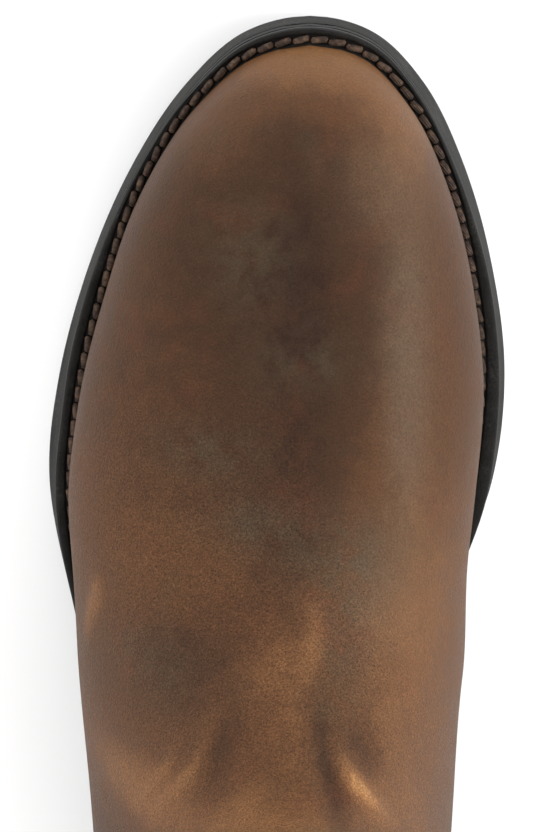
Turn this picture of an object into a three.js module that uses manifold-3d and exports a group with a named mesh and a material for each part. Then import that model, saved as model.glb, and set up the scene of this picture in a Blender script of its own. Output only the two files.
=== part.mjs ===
// Left safety work boot of the pull-on kind: a one-piece crimped front, a back quarter, a welted
// rubber sole with a separate heel, a steel toe cap and two pull loops.
// Millimetres, +Z up. The boot stands on z = 0, its toe points to -Y, and +X is its outer side.
// Places along the boot are given as s, the distance from the toe's tip, so y = s - length / 2.
import * as THREE from "three";
import { mergeVertices } from "three/addons/utils/BufferGeometryUtils.js";
import Module from "manifold-3d";

const wasm = await Module();
wasm.setup();

// ---- driving dimensions ----
const soleLength = 306;
const gap = 0.3; // free space between pieces that touch
const leather = 2.0;
const heelBreast = 228; // s of the heel's front face
const seamPlace = 226; // s of the side seams
const rimRise = 8; // how far the rim stands higher at the sides than in front and behind

// The tread's edge seen from above, as (x, s), from the toe round the inner side to the heel and back.
const soleEdge = [
  [-8, 0], [-23.5, 4.3], [-36, 17.8], [-45.6, 38], [-53, 63.4], [-57, 93],
  [-54.2, 122], [-43.5, 152], [-34, 186], [-34.5, 222], [-38.5, 262], [-30, 294],
  [1, 306], [32, 294], [40.5, 262], [39.5, 222], [43, 186], [51, 156],
  [57.3, 122], [54.5, 94], [46, 63.5], [34.9, 38], [21.9, 17.6], [8, 4.3],
];

// Heights along the boot: the feather line, where the upper meets the welt, and the tread.
const featherHeight = through([
  [0, 28.5], [20, 24.5], [45, 19.8], [75, 17], [105, 16.5], [135, 18.3],
  [165, 23], [195, 29], [225, 33.8], [260, 36.2], [306, 37.5],
]);
const treadCurve = through([
  [0, 13.5], [12, 9.4], [30, 4.4], [50, 1.3], [70, 0], [128, 0],
  [150, 2.6], [185, 13], [heelBreast, 21], [260, 24], [306, 25.3],
]);
const treadHeight = (s) => Math.max(0, treadCurve(s));

// Distances inside the tread's edge, which differ between the outer and the inner side.
const sided = (outer, inner) => {
  const [a, b] = [through(outer), through(inner)];
  return (s, x) => b(s) + (a(s) - b(s)) * ease(-12, 12, x);
};
const featherInset = sided(
  [[0, 4.6], [20, 3.6], [43, 4.1], [63, 5.6], [84, 6.4], [105, 7.1], [125, 7.1], [150, 6], [185, 4.5], [230, 4], [306, 5]],
  [[0, 4.6], [20, 4.8], [43, 5.4], [63, 6.3], [84, 7.2], [105, 8.1], [125, 7.8], [150, 6], [185, 4.5], [230, 4], [306, 5]],
);

// The upper is a fan of cuts. Each runs from a front point (the ridge of the foot, then the shaft's
// front) to a back point (the feather line, then the heel and the shaft's back). q numbers the cuts
// and is the distance from the toe's tip where the cuts stand upright.
// Half widths count from the ridge; belly is where a cut is widest, as a share of its length from
// the back point, and power is how square its front half is.
const heelCut = 254; // the cut whose back point is the heel's end
const topCut = 470;
const cuts = [
  { q: 0, front: [0, 61.5], back: [0, 0], outer: 46, inner: 46, belly: 0.3, power: 2.35, ridge: -8 },
  { q: 30, front: [30, 67.5], back: [30, 0], outer: 46, inner: 46, belly: 0.28, power: 2.35, ridge: -7.4 },
  { q: 60, front: [60, 73], back: [60, 0], outer: 49, inner: 46, belly: 0.26, power: 2.3, ridge: -6.2 },
  { q: 85, front: [85, 79], back: [85, 0], outer: 52, inner: 48, belly: 0.25, power: 2.2, ridge: -5.2 },
  { q: 108, front: [107, 87.5], back: [110, 0], outer: 54, inner: 48, belly: 0.25, power: 2.1, ridge: -4.2 },
  { q: 130, front: [126, 99], back: [137, 0], outer: 53.5, inner: 46, belly: 0.26, power: 2, ridge: -3.2 },
  { q: 152, front: [142, 113.5], back: [168, 0], outer: 50.5, inner: 43, belly: 0.27, power: 1.95, ridge: -2.2 },
  { q: 174, front: [152.5, 128], back: [200, 0], outer: 47, inner: 41.7, belly: 0.28, power: 1.95, ridge: -1.4 },
  { q: 196, front: [158, 140.5], back: [232, 0], outer: 44.5, inner: 40.9, belly: 0.3, power: 1.95, ridge: -0.8 },
  { q: 218, front: [160.5, 150.5], back: [262, 0], outer: 42.5, inner: 40.5, belly: 0.32, power: 2, ridge: -0.4 },
  { q: 238, front: [161.8, 159], back: [286, 0], outer: 41.5, inner: 40.4, belly: 0.34, power: 2, ridge: 0 },
  { q: 254, front: [162.2, 166], back: [301, 37.4], outer: 41, inner: 40.7, belly: 0.36, power: 2, ridge: 0 },
  { q: 268, front: [162.2, 172.5], back: [302.4, 50], outer: 41, inner: 41, belly: 0.38, power: 2, ridge: 0 },
  { q: 284, front: [161.9, 180], back: [302.6, 66], outer: 41, inner: 41, belly: 0.4, power: 2, ridge: 0 },
  { q: 304, front: [161.2, 189.5], back: [300, 88], outer: 41.5, inner: 41.5, belly: 0.42, power: 2, ridge: 0 },
  { q: 328, front: [160.2, 201], back: [296, 114], outer: 42.5, inner: 42.3, belly: 0.44, power: 2.02, ridge: 0 },
  { q: 354, front: [158.8, 214], back: [293.5, 142], outer: 43.5, inner: 43.5, belly: 0.46, power: 2.05, ridge: 0 },
  { q: 382, front: [157, 229.5], back: [293.8, 173], outer: 45, inner: 44.7, belly: 0.47, power: 2.08, ridge: 0 },
  { q: 412, front: [155, 246], back: [296, 207], outer: 46.5, inner: 46.5, belly: 0.48, power: 2.1, ridge: 0 },
  { q: 442, front: [153, 259], back: [298.7, 239], outer: 48, inner: 48, belly: 0.5, power: 2.1, ridge: 0 },
  { q: topCut, front: [151.5, 268], back: [300, 268], outer: 49, inner: 49, belly: 0.5, power: 2.1, ridge: 0 },
];
const toeBlunt = 27; // length of the rounded toe wall, from the tip to the flat of the toe box
const toeSquareness = 2.1;
// How square a cut is between its belly and the back point.
const lowerPower = through([[0, 2], [150, 2], [215, 2.6], [265, 2.6], [330, 2.1], [470, 2.1]]);

// ---- curves ----
// A smooth function through (place, value) points.
function through(points) {
  const n = points.length;
  const slope = points.map((p, i) => {
    const a = points[Math.max(i - 1, 0)];
    const b = points[Math.min(i + 1, n - 1)];
    return (b[1] - a[1]) / (b[0] - a[0]);
  });
  return (x) => {
    const at = Math.min(Math.max(x, points[0][0]), points[n - 1][0]);
    let i = 0;
    while (i < n - 2 && at > points[i + 1][0]) i += 1;
    const span = points[i + 1][0] - points[i][0];
    const t = (at - points[i][0]) / span;
    const rest = 1 - t;
    return (
      (1 + 2 * t) * rest * rest * points[i][1] +
      t * rest * rest * span * slope[i] +
      t * t * (3 - 2 * t) * points[i + 1][1] -
      t * t * rest * span * slope[i + 1]
    );
  };
}

function ease(from, to, x) {
  return THREE.MathUtils.smoothstep(x, from, to);
}

function range(from, to, steps) {
  return Array.from({ length: steps + 1 }, (_, i) => from + ((to - from) * i) / steps);
}

// A closed outline in plan, as points with x and s, and the unit normal that points inwards.
function outlineOf(points, samples) {
  const ends = points.map(([x, s]) => new THREE.Vector3(x, s, 0));
  const curve = new THREE.CatmullRomCurve3(ends, true, "centripetal");
  return range(0, 1, samples)
    .slice(0, -1)
    .map((t) => {
      const at = curve.getPoint(t);
      const along = curve.getTangent(t);
      return { x: at.x, s: at.y, nx: -along.y, ns: along.x, inward: 0 };
    })
    .map((p) => {
      // the loop runs down the inner side first, so the inward normal is on its left
      const sign = Math.sign(-p.x * p.nx + (soleLength / 2 - p.s) * 0.2 * p.ns) || 1;
      return { ...p, nx: sign * p.nx, ns: sign * p.ns };
    });
}

function insetOutline(outline, insetAt) {
  return outline.map((p) => {
    const d = insetAt(p.s, p.x);
    return { ...p, x: p.x + p.nx * d, s: p.s + p.ns * d };
  });
}

// The two x values where an outline crosses a place s, as a function.
function sidesOf(outline) {
  const tip = outline.reduce((a, p, i) => (p.s < outline[a].s ? i : a), 0);
  const end = outline.reduce((a, p, i) => (p.s > outline[a].s ? i : a), 0);
  const walk = (from, to, step) => {
    const list = [];
    for (let i = from; i !== to; i = (i + step + outline.length) % outline.length) {
      list.push(outline[i]);
    }
    list.push(outline[to]);
    return list;
  };
  const cross = (side, s) => {
    const i = side.findIndex((p, k) => k > 0 && p.s >= s);
    const b = i < 0 ? side[side.length - 1] : side[i];
    const a = i < 0 ? b : side[i - 1];
    const t = b.s === a.s ? 0 : THREE.MathUtils.clamp((s - a.s) / (b.s - a.s), 0, 1);
    return a.x + t * (b.x - a.x);
  };
  const innerSide = walk(tip, end, 1);
  const outerSide = walk(tip, end, -1);
  const at = (s) => ({ inner: cross(innerSide, s), outer: cross(outerSide, s) });
  return Object.assign(at, { tip: outline[tip].s, end: outline[end].s });
}

const outlineSamples = 480;
const sole = outlineOf(soleEdge, outlineSamples);
const feather = insetOutline(sole, featherInset);
const featherSides = sidesOf(feather);
const toeTip = featherSides.tip;
const heelEnd = featherSides.end;

// ---- the surface of the upper ----
const cutValue = (pick) => through(cuts.map((c) => [c.q, pick(c)]));
const frontPlace = cutValue((c) => c.front[0]);
const frontHeight = cutValue((c) => c.front[1]);
const backPlace = cutValue((c) => (c.q === heelCut ? heelEnd : c.back[0]));
const backRise = through(cuts.filter((c) => c.q >= heelCut).map((c) => [c.q, c.back[1]]));
const outerHalf = cutValue((c) => c.outer);
const innerHalf = cutValue((c) => c.inner);
const bellyAt = cutValue((c) => c.belly);
const powerAt = cutValue((c) => c.power);
const ridgeAt = cutValue((c) => c.ridge);

function cutAt(q) {
  const backS = Math.min(backPlace(q), q <= heelCut ? heelEnd : Infinity);
  const backZ = q <= heelCut ? featherHeight(backS) : backRise(q);
  const wall = Math.min(1, Math.max(0, (q - toeTip) / toeBlunt));
  const blunt = (1 - (1 - wall) ** toeSquareness) ** (1 / toeSquareness);
  const frontZ = backZ + (frontHeight(q) - backZ) * (q < toeTip + toeBlunt ? blunt : 1);
  const edge = featherSides(backS);
  const ridge = ridgeAt(q);
  const foot = q < heelCut ? 1 : 0;
  const swell = 1.1 * ease(toeTip, toeTip + 20, q);
  const settled = ease(105, 150, q);
  const half = (flat, full) => {
    const close = flat + swell * Math.min(1, flat / 20);
    return Math.max(close + (full - close) * settled, flat + 0.05);
  };
  const flatOuter = foot * Math.max(0, edge.outer - ridge);
  const flatInner = foot * Math.max(0, ridge - edge.inner);
  return {
    ridge,
    front: [frontPlace(q), frontZ],
    back: [backS, backZ],
    belly: bellyAt(q),
    power: powerAt(q),
    lower: lowerPower(q),
    flat: [flatInner, flatOuter],
    half: [half(flatInner, innerHalf(q)), half(flatOuter, outerHalf(q))],
  };
}

// u runs over a cut: 0 on the ridge, 0.5 at the belly and 1 at the back point, + on the outer side.
function shareAt(cut, u) {
  const side = u < 0 ? 0 : 1;
  const ratio = Math.min(0.9999, cut.flat[side] / cut.half[side]);
  const reach = cut.belly / (1 - ratio ** cut.lower) ** (1 / cut.lower);
  const way = Math.abs(u);
  if (way <= 0.5) {
    const angle = (1 - way / 0.5) * (Math.PI / 2);
    const along = cut.belly + (1 - cut.belly) * Math.sin(angle) ** (2 / cut.power);
    return { along, wide: Math.cos(angle) ** (2 / cut.power) * cut.half[side] };
  }
  const last = Math.asin(Math.min(1, cut.belly / reach) ** (cut.lower / 2));
  const angle = ((way - 0.5) / 0.5) * last;
  const along = cut.belly - reach * Math.sin(angle) ** (2 / cut.lower);
  return { along, wide: Math.max(0, Math.cos(angle)) ** (2 / cut.lower) * cut.half[side] };
}

function surfacePoint(q, u) {
  const cut = cutAt(q);
  const { along, wide } = q > toeTip ? shareAt(cut, u) : { along: 0, wide: 0 };
  const s = cut.back[0] + (cut.front[0] - cut.back[0]) * along;
  const z = cut.back[1] + (cut.front[1] - cut.back[1]) * along;
  const rim = rimRise * Math.sin(Math.PI * Math.abs(u)) ** 2 * ease(400, topCut, q);
  return new THREE.Vector3(cut.ridge + Math.sign(u) * wide, s - soleLength / 2, z + rim);
}

// The u where a cut passes a place s, on the half between belly and back or between ridge and belly.
function uAtPlace(q, s, side) {
  const cut = cutAt(q);
  const along = (s - cut.back[0]) / (cut.front[0] - cut.back[0]);
  let low = 0;
  let high = 1;
  for (let i = 0; i < 40; i += 1) {
    const mid = (low + high) / 2;
    if (shareAt(cut, side * mid).along > along) low = mid;
    else high = mid;
  }
  return low;
}

const step = 0.01;
function surfaceNormal(q, u) {
  if (q <= toeTip + 1e-6) return new THREE.Vector3(0, -1, 0);
  const qa = Math.min(q + 0.5, topCut);
  const qb = Math.max(q - 0.5, toeTip + 0.02);
  const ua = Math.min(u + step, 1);
  const ub = Math.max(u - step, -1);
  const alongCuts = surfacePoint(qa, u).sub(surfacePoint(qb, u));
  const round = surfacePoint(q, ua).sub(surfacePoint(q, ub));
  return round.cross(alongCuts).normalize();
}

// ---- solids ----
function geometryOf(points, faces) {
  const geometry = new THREE.BufferGeometry();
  geometry.setAttribute("position", new THREE.Float32BufferAttribute(points.flat(), 3));
  geometry.setIndex(faces.flat());
  return geometry;
}

function volumeOf(points, faces) {
  return faces.reduce((sum, [a, b, c]) => {
    const [p, r, t] = [points[a], points[b], points[c]];
    const x = r[1] * t[2] - r[2] * t[1];
    const y = r[2] * t[0] - r[0] * t[2];
    const z = r[0] * t[1] - r[1] * t[0];
    return sum + p[0] * x + p[1] * y + p[2] * z;
  }, 0);
}

function closedGeometry(points, faces) {
  const flip = volumeOf(points, faces) < 0;
  return geometryOf(points, flip ? faces.map(([a, b, c]) => [a, c, b]) : faces);
}

// A wall along the surface: rows are cuts, and each row holds runs of u values. A wall lies between
// two depths under the surface, which may change with q. Runs meet where their points coincide.
function wallGeometry(rows, runsAt, outerDepth, innerDepth) {
  const depth = (d, q, u) => (typeof d === "function" ? d(q, u) : d);
  const found = new Map();
  const places = [];
  const indexOf = (q, u) => {
    const at = surfacePoint(q, u);
    const key = at.toArray().map((v) => Math.round(v * 1000)).join();
    if (!found.has(key)) {
      found.set(key, places.length);
      places.push({ at, normal: new THREE.Vector3(), q, u });
    }
    const index = found.get(key);
    places[index].normal.add(surfaceNormal(q, u));
    return index;
  };
  const grid = rows.map((q) => runsAt(q).map((run) => run.map((u) => ({ u, i: indexOf(q, u) }))));
  const skin = [];
  const addFace = (a, b, c) => {
    if (a.i !== b.i && b.i !== c.i && a.i !== c.i) skin.push([a.i, b.i, c.i]);
  };
  // two neighbouring runs may hold different numbers of points, so step along whichever is behind
  const bridge = (run, next) => {
    let [j, k] = [0, 0];
    while (j + 1 < run.length || k + 1 < next.length) {
      const first = k + 1 >= next.length;
      if (first || (j + 1 < run.length && run[j + 1].u <= next[k + 1].u + 1e-9)) {
        addFace(run[j], run[j + 1], next[k]);
        j += 1;
      } else {
        addFace(run[j], next[k + 1], next[k]);
        k += 1;
      }
    }
  };
  for (let r = 0; r + 1 < grid.length; r += 1) {
    grid[r].forEach((run, k) => bridge(run, grid[r + 1][k]));
  }
  const used = new Map();
  skin.forEach(([a, b, c]) => {
    [[a, b], [b, c], [c, a]].forEach(([from, to]) => used.set(`${from},${to}`, [from, to]));
  });
  const n = places.length;
  const faces = skin.flatMap(([a, b, c]) => [[a, b, c], [a + n, c + n, b + n]]);
  used.forEach(([from, to]) => {
    if (used.has(`${to},${from}`)) return;
    faces.push([from, from + n, to + n], [from, to + n, to]);
  });
  const under = (d) =>
    places.map((p) => {
      const normal = p.normal.clone().normalize();
      return p.at.clone().addScaledVector(normal, -depth(d, p.q, p.u)).toArray();
    });
  return closedGeometry([...under(outerDepth), ...under(innerDepth)], faces);
}

// A layer of the sole: flat across, and curved along the boot between two heights. Its sides spread
// from the outline of its top to that of its foot. A layer that stops short of an end says where.
function layerGeometry(top, foot, highAt, lowAt, cut = {}) {
  const from = (sides, at) => Math.max(sides.tip, at ?? 0);
  const to = (sides, at) => Math.min(sides.end, at ?? soleLength);
  const [a0, a1] = [from(top, cut.from), to(top, cut.to)];
  const [b0, b1] = [from(foot, cut.footFrom ?? cut.from), to(foot, cut.to)];
  const rows = range(0, 1, Math.max(6, Math.round((a1 - a0) / 7)));
  const points = [];
  rows.forEach((t) => {
    const share = 0.55 * ((1 - Math.cos(Math.PI * t)) / 2) + 0.45 * t;
    const sa = a0 + (a1 - a0) * share;
    const sb = b0 + (b1 - b0) * share;
    const [a, b] = [top(sa), foot(sb)];
    const [ya, yb] = [sa - soleLength / 2, sb - soleLength / 2];
    points.push([a.inner, ya, highAt(sa)], [a.outer, ya, highAt(sa)]);
    points.push([b.outer, yb, lowAt(sb)], [b.inner, yb, lowAt(sb)]);
  });
  const faces = [];
  const quad = (a, b, c, d) => faces.push([a, b, c], [a, c, d]);
  for (let r = 0; r + 1 < rows.length; r += 1) {
    for (let k = 0; k < 4; k += 1) {
      const m = (k + 1) % 4;
      quad(4 * r + k, 4 * r + m, 4 * r + 4 + m, 4 * r + 4 + k);
    }
  }
  const last = 4 * (rows.length - 1);
  quad(0, 3, 2, 1);
  quad(last, last + 1, last + 2, last + 3);
  return tidyGeometry(points, faces);
}

// Merges points that coincide and drops the faces that collapse.
function tidyGeometry(points, faces) {
  const found = new Map();
  const kept = [];
  const index = points.map((p) => {
    const key = p.map((v) => Math.round(v * 1000)).join();
    if (!found.has(key)) {
      found.set(key, kept.length);
      kept.push(p);
    }
    return found.get(key);
  });
  const whole = faces
    .map((face) => face.map((i) => index[i]))
    .filter(([a, b, c]) => a !== b && b !== c && a !== c);
  return closedGeometry(kept, whole);
}

// A strip round the sole's edge: an open run or a closed ring of one cross-section. The section's
// points are (distance inside the tread's edge, height above the feather line).
function edgeStripGeometry(from, to, sectionAt) {
  const within = (p) => p.s >= from && p.s <= to;
  const first = sole.findIndex((p, i) => within(p) && !within(sole.at(i - 1)));
  const run = [];
  for (let i = 0; i < sole.length; i += 1) {
    const p = sole[(Math.max(first, 0) + i) % sole.length];
    if (within(p)) run.push(p);
  }
  const sparse = run.filter((_, i) => i % 5 === 0 || i === run.length - 1);
  return sweepGeometry(
    sparse.map((p) =>
      sectionAt(p.s, p.x).map(([inset, rise]) => {
        const s = p.s + p.ns * inset;
        return [p.x + p.nx * inset, s - soleLength / 2, featherHeight(s) + rise];
      }),
    ),
    first < 0,
  );
}

function sweepGeometry(sections, closed) {
  const count = sections[0].length;
  const points = sections.flat();
  const faces = [];
  const last = sections.length - (closed ? 0 : 1);
  for (let r = 0; r < last; r += 1) {
    const next = (r + 1) % sections.length;
    for (let k = 0; k < count; k += 1) {
      const m = (k + 1) % count;
      faces.push([r * count + k, r * count + m, next * count + m]);
      faces.push([r * count + k, next * count + m, next * count + k]);
    }
  }
  if (!closed) {
    const flat = capFaces(sections[0]);
    const far = (sections.length - 1) * count;
    flat.forEach(([a, b, c]) => faces.push([a, c, b], [far + a, far + b, far + c]));
  }
  return closedGeometry(points, faces);
}

// Triangles that fill a flat loop of points.
function capFaces(loop) {
  const [a, b] = [new THREE.Vector3(...loop[0]), new THREE.Vector3(...loop[1])];
  const normal = new THREE.Vector3();
  loop.forEach((p, i) => {
    const here = new THREE.Vector3(...p);
    normal.add(here.cross(new THREE.Vector3(...loop[(i + 1) % loop.length])));
  });
  const right = b.sub(a).normalize();
  const up = normal.normalize().cross(right);
  const flat = loop.map((p) => {
    const at = new THREE.Vector3(...p);
    return new THREE.Vector2(at.dot(right), at.dot(up));
  });
  return THREE.ShapeUtils.triangulateShape(flat, []);
}

function solidOf(geometry) {
  const plain = geometry.index ? geometry.toNonIndexed() : geometry.clone();
  const bare = new THREE.BufferGeometry();
  bare.setAttribute("position", plain.getAttribute("position"));
  const merged = mergeVertices(bare, 1e-3);
  return new wasm.Manifold(
    new wasm.Mesh({
      numProp: 3,
      vertProperties: merged.attributes.position.array,
      triVerts: new Uint32Array(merged.index.array),
    }),
  );
}

function geometryFrom(solid) {
  const made = solid.getMesh();
  const geometry = new THREE.BufferGeometry();
  geometry.setAttribute("position", new THREE.BufferAttribute(made.vertProperties, 3));
  geometry.setIndex(new THREE.BufferAttribute(made.triVerts, 1));
  return geometry;
}

function cutAway(geometry, tools) {
  return geometryFrom(tools.reduce((left, tool) => left.subtract(solidOf(tool)), solidOf(geometry)));
}

// ---- where the pieces of the upper end ----
function cutWithBackAt(s) {
  let low = toeTip;
  let high = heelCut;
  for (let i = 0; i < 40; i += 1) {
    const mid = (low + high) / 2;
    if (backPlace(mid) < s) low = mid;
    else high = mid;
  }
  return low;
}

const seamCut = cutWithBackAt(seamPlace);
const capEnd = 58;
const trimEnd = 63;
const counterStart = 208;
const counterTop = 288;
const counterShare = 0.74; // the cup's front edges
const coverTop = 294;
const vampTop = 246;
const bindingFoot = topCut - 10;
const strapFoot = topCut - 44;

// Every wall uses the same cuts and shares, so that neighbours stay parallel.
const wallCuts = [
  toeTip, 8.4, 10, 13, 17, 22, 28, 35, 46, capEnd, trimEnd, 75, 88, 101, 114, 127, 139, 150, 161,
  171, 181, seamCut, 200, counterStart, 218, 228, 238, vampTop, 250, heelCut, 260, 268, 278,
  counterTop, coverTop, 304, 318, 334, 352, 372, 394, 412, strapFoot, 443, bindingFoot, topCut,
];
const wallShares = [0, 0.09, 0.18, 0.27, 0.35, 0.42, 0.5, 0.58, 0.66, 0.74, 0.82, 0.9, 0.95, 1];

function cutsBetween(from, to) {
  return wallCuts.filter((q) => q >= from - 1e-6 && q <= to + 1e-6);
}

function sharesBetween(from, to) {
  const slack = 0.012;
  return [from, ...wallShares.filter((u) => u > from + slack && u < to - slack), to];
}

// The share at which a cut meets the seam, moved forwards or back by a distance.
function seamShare(q, side, move) {
  return backPlace(q) <= seamPlace + move ? 1 : uAtPlace(q, seamPlace + move, side);
}

const both = (shares, side) => (side > 0 ? shares : shares.map((u) => -u).reverse());

// In front of the seam: one run right across. Behind it: one run on either side.
function frontRun(move) {
  return (q) => {
    const right = sharesBetween(0, seamShare(q, 1, -move));
    const left = sharesBetween(0, seamShare(q, -1, -move));
    return [[...both(left, -1), ...right.slice(1)]];
  };
}

function backRuns(move) {
  return (q) => {
    const right = sharesBetween(seamShare(q, 1, move), 1);
    const left = sharesBetween(seamShare(q, -1, move), 1);
    return [both(left, -1), right];
  };
}

function stripRun(side, half) {
  return (q) => {
    const a = uAtPlace(q, seamPlace - half, side);
    const b = uAtPlace(q, seamPlace + half, side);
    return [both([a, (a + b) / 2, b], side)];
  };
}

const outlineInside = (inset) => sidesOf(insetOutline(sole, (s, x) => featherInset(s, x) + inset));
const soleInside = (inset) => sidesOf(insetOutline(sole, inset));
const above = (rise) => (s) => featherHeight(s) + rise;

// ---- the sole ----
const weltInset = sided(
  [[0, 0.35], [20, 0.6], [44, 0.5], [65, 0.7], [86, 1.4], [106, 2.2], [140, 1.6], [306, 1.6]],
  [[0, 0.35], [20, 1.3], [44, 1.3], [65, 1.1], [86, 1.6], [106, 1.9], [140, 1.6], [306, 1.6]],
);
const weltTop = -gap;
const weltFoot = weltTop - 2.9;
const midsoleTop = weltFoot - gap;
const midsoleFoot = midsoleTop - 3.2;
const outsoleTop = midsoleFoot - gap;
const liftThickness = 6.5;
const wallDepth = 5.2; // from the upper's outside to the lining's inside at the toe

const treadEdge = soleInside(() => 0);
const weltEdge = soleInside(weltInset);
const heelEdge = soleInside(() => 0.6);
const heelFoot = soleInside(() => 2.2);
const liftEdge = soleInside(() => 2.1);

function boxAt(size, at, tilt = 0) {
  return new THREE.BoxGeometry(...size).rotateX(tilt).translate(...at);
}

function cylinderAt(radius, height, x, s, foot, sides = 16) {
  const cylinder = new THREE.CylinderGeometry(radius, radius, height, sides);
  return cylinder.rotateX(Math.PI / 2).translate(x, s - soleLength / 2, foot + height / 2);
}

const grooveDepth = 3;
const grooveMargin = 5; // the grooves end this far inside the edge
const grooves = range(24, 138, 10).map((s) => {
  const slope = Math.atan(treadHeight(s + 1) - treadHeight(s - 1)) / 2;
  const { inner, outer } = treadEdge(s);
  const size = [outer - inner - 2 * grooveMargin, 3.6, 2 * grooveDepth];
  return boxAt(size, [(inner + outer) / 2, s - soleLength / 2, treadHeight(s)], slope);
});
const outsole = cutAway(
  layerGeometry(weltEdge, treadEdge, above(outsoleTop), treadHeight),
  grooves,
);

const heelTop = (s) => treadHeight(s) - gap;
const nailPlaces = [[-24, 248], [24, 248], [-27, 270], [28, 270], [-15, 290], [17, 290]];
const nailLength = 14;
const nailRadius = 1.3;
const nailFoot = (s) => heelTop(s) - nailLength;
const heelBlock = cutAway(
  layerGeometry(heelEdge, heelFoot, heelTop, () => liftThickness + gap, {
    from: heelBreast,
    footFrom: heelBreast + 3,
  }),
  nailPlaces.map(([x, s]) => cylinderAt(nailRadius + gap, 40, x, s, nailFoot(s) - gap)),
);
const nails = nailPlaces.map(([x, s]) => cylinderAt(nailRadius, nailLength - 0.2, x, s, nailFoot(s)));
const topLift = layerGeometry(liftEdge, liftEdge, () => liftThickness, () => 0, {
  from: heelBreast + 3.2,
});

const midsole = layerGeometry(weltEdge, weltEdge, above(midsoleTop), above(midsoleFoot));
const weltSection = (s, x) => [
  [weltInset(s, x), weltTop],
  [featherInset(s, x) + wallDepth, weltTop],
  [featherInset(s, x) + wallDepth, weltFoot],
  [weltInset(s, x), weltFoot],
];
const welt = edgeStripGeometry(-1, soleLength + 1, weltSection);

const stitchRise = 0.1;
const threadSection = (s, x) => {
  const middle = featherInset(s, x) - 1.8;
  return range(0, 2 * Math.PI, 6)
    .slice(0, -1)
    .map((a) => [middle + 0.95 * Math.cos(a), weltTop + stitchRise + 0.5 + 0.5 * Math.sin(a)]);
};
const weltStitching = edgeStripGeometry(-1, heelBreast + 8, threadSection);

const ribSection = (s, x) => [
  [featherInset(s, x) + wallDepth + gap, weltTop],
  [featherInset(s, x) + wallDepth + gap + 1.8, weltTop],
  [featherInset(s, x) + wallDepth + gap + 1.8, weltFoot],
  [featherInset(s, x) + wallDepth + gap, weltFoot],
];
const rib = edgeStripGeometry(-1, soleLength + 1, ribSection);

const boardEdge = outlineInside(wallDepth + 0.5);
const board = layerGeometry(boardEdge, boardEdge, above(2.6), above(0));
const fillEdge = outlineInside(wallDepth + 2 * gap + 1.8);
const filler = layerGeometry(fillEdge, fillEdge, above(weltTop), above(weltFoot), { to: 150 });

const shankHalf = 7;
const strip = (from, to) =>
  Object.assign(() => ({ inner: -shankHalf, outer: shankHalf }), { tip: from, end: to });
const shankStrip = strip(154, 266);
const rivetPlaces = [168, 254];
const shank = cutAway(
  layerGeometry(shankStrip, shankStrip, above(-0.9), above(-2.7)),
  rivetPlaces.map((s) => cylinderAt(2.3, 20, 0, s, featherHeight(s) - 10)),
);
const rivets = rivetPlaces.map((s) => cylinderAt(2, 2.4, 0, s, featherHeight(s) - 2.9));

const bedEdge = outlineInside(wallDepth + 1.8);
const foam = layerGeometry(bedEdge, bedEdge, above(7.4), above(2.9));
const bedCover = layerGeometry(bedEdge, bedEdge, above(8.8), above(7.7));

// ---- the upper ----
const upperFront = wallGeometry(cutsBetween(toeTip, topCut), frontRun(0.2), 0, leather);
const upperBack = wallGeometry(cutsBetween(seamCut, topCut), backRuns(0.2), 0, leather);

const innerStart = leather + gap;
const capDepth = 1.8;
const allRound = () => [[...both(wallShares, -1), ...wallShares.slice(1)]];
const cap = wallGeometry(cutsBetween(toeTip, capEnd), allRound, innerStart, innerStart + capDepth);
const trim = wallGeometry(
  [capEnd + 0.4, trimEnd],
  allRound,
  innerStart,
  innerStart + capDepth,
);
const liningBack = (q) => innerStart + (capDepth + gap) * (1 - ease(trimEnd + 2, 100, q));
const vampLining = wallGeometry(
  cutsBetween(toeTip, vampTop),
  frontRun(0.3),
  liningBack,
  (q) => liningBack(q) + 0.8,
);
const shaftCuts = [vampTop + 0.6, ...cutsBetween(250, topCut)];
const shaftLining = wallGeometry(shaftCuts, frontRun(0.3), innerStart, innerStart + 0.8);

// The counter is a stiff cup round the heel, with its front ends cut back from the seam.
const cup = wallShares.filter((u) => u >= counterShare);
const counter = wallGeometry(
  cutsBetween(counterStart, counterTop),
  () => [both(cup, -1), cup],
  innerStart,
  innerStart + 1.6,
);
const pocketStart = innerStart + 1.6 + gap;
const pocketLining = wallGeometry(
  cutsBetween(seamCut, coverTop),
  backRuns(0.3),
  pocketStart,
  pocketStart + 0.8,
);
const backCuts = [coverTop + 0.6, ...cutsBetween(304, topCut)];
const backLining = wallGeometry(backCuts, backRuns(0.3), innerStart, innerStart + 0.8);

// The cover's lower edge is trimmed level, just above the welt.
const wide = soleInside(() => -8);
const trimTool = layerGeometry(wide, wide, above(1.2), above(-9), { from: 190 });
const coverWall = wallGeometry(
  cutsBetween(counterStart, coverTop),
  backRuns(9),
  -gap - 1.6,
  -gap,
);
// Its upper edge falls gently from the heel to its front ends.
const coverEdge = boxAt([200, 240, 100], [0, 120, 128], 0.12);
const cover = cutAway(coverWall, [trimTool, coverEdge]);

const pipingCuts = [...cutsBetween(208, 443), bindingFoot - 2];
const piping = (side) => wallGeometry(pipingCuts, stripRun(side, 1.7), -gap - 1.1, -gap);

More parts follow.
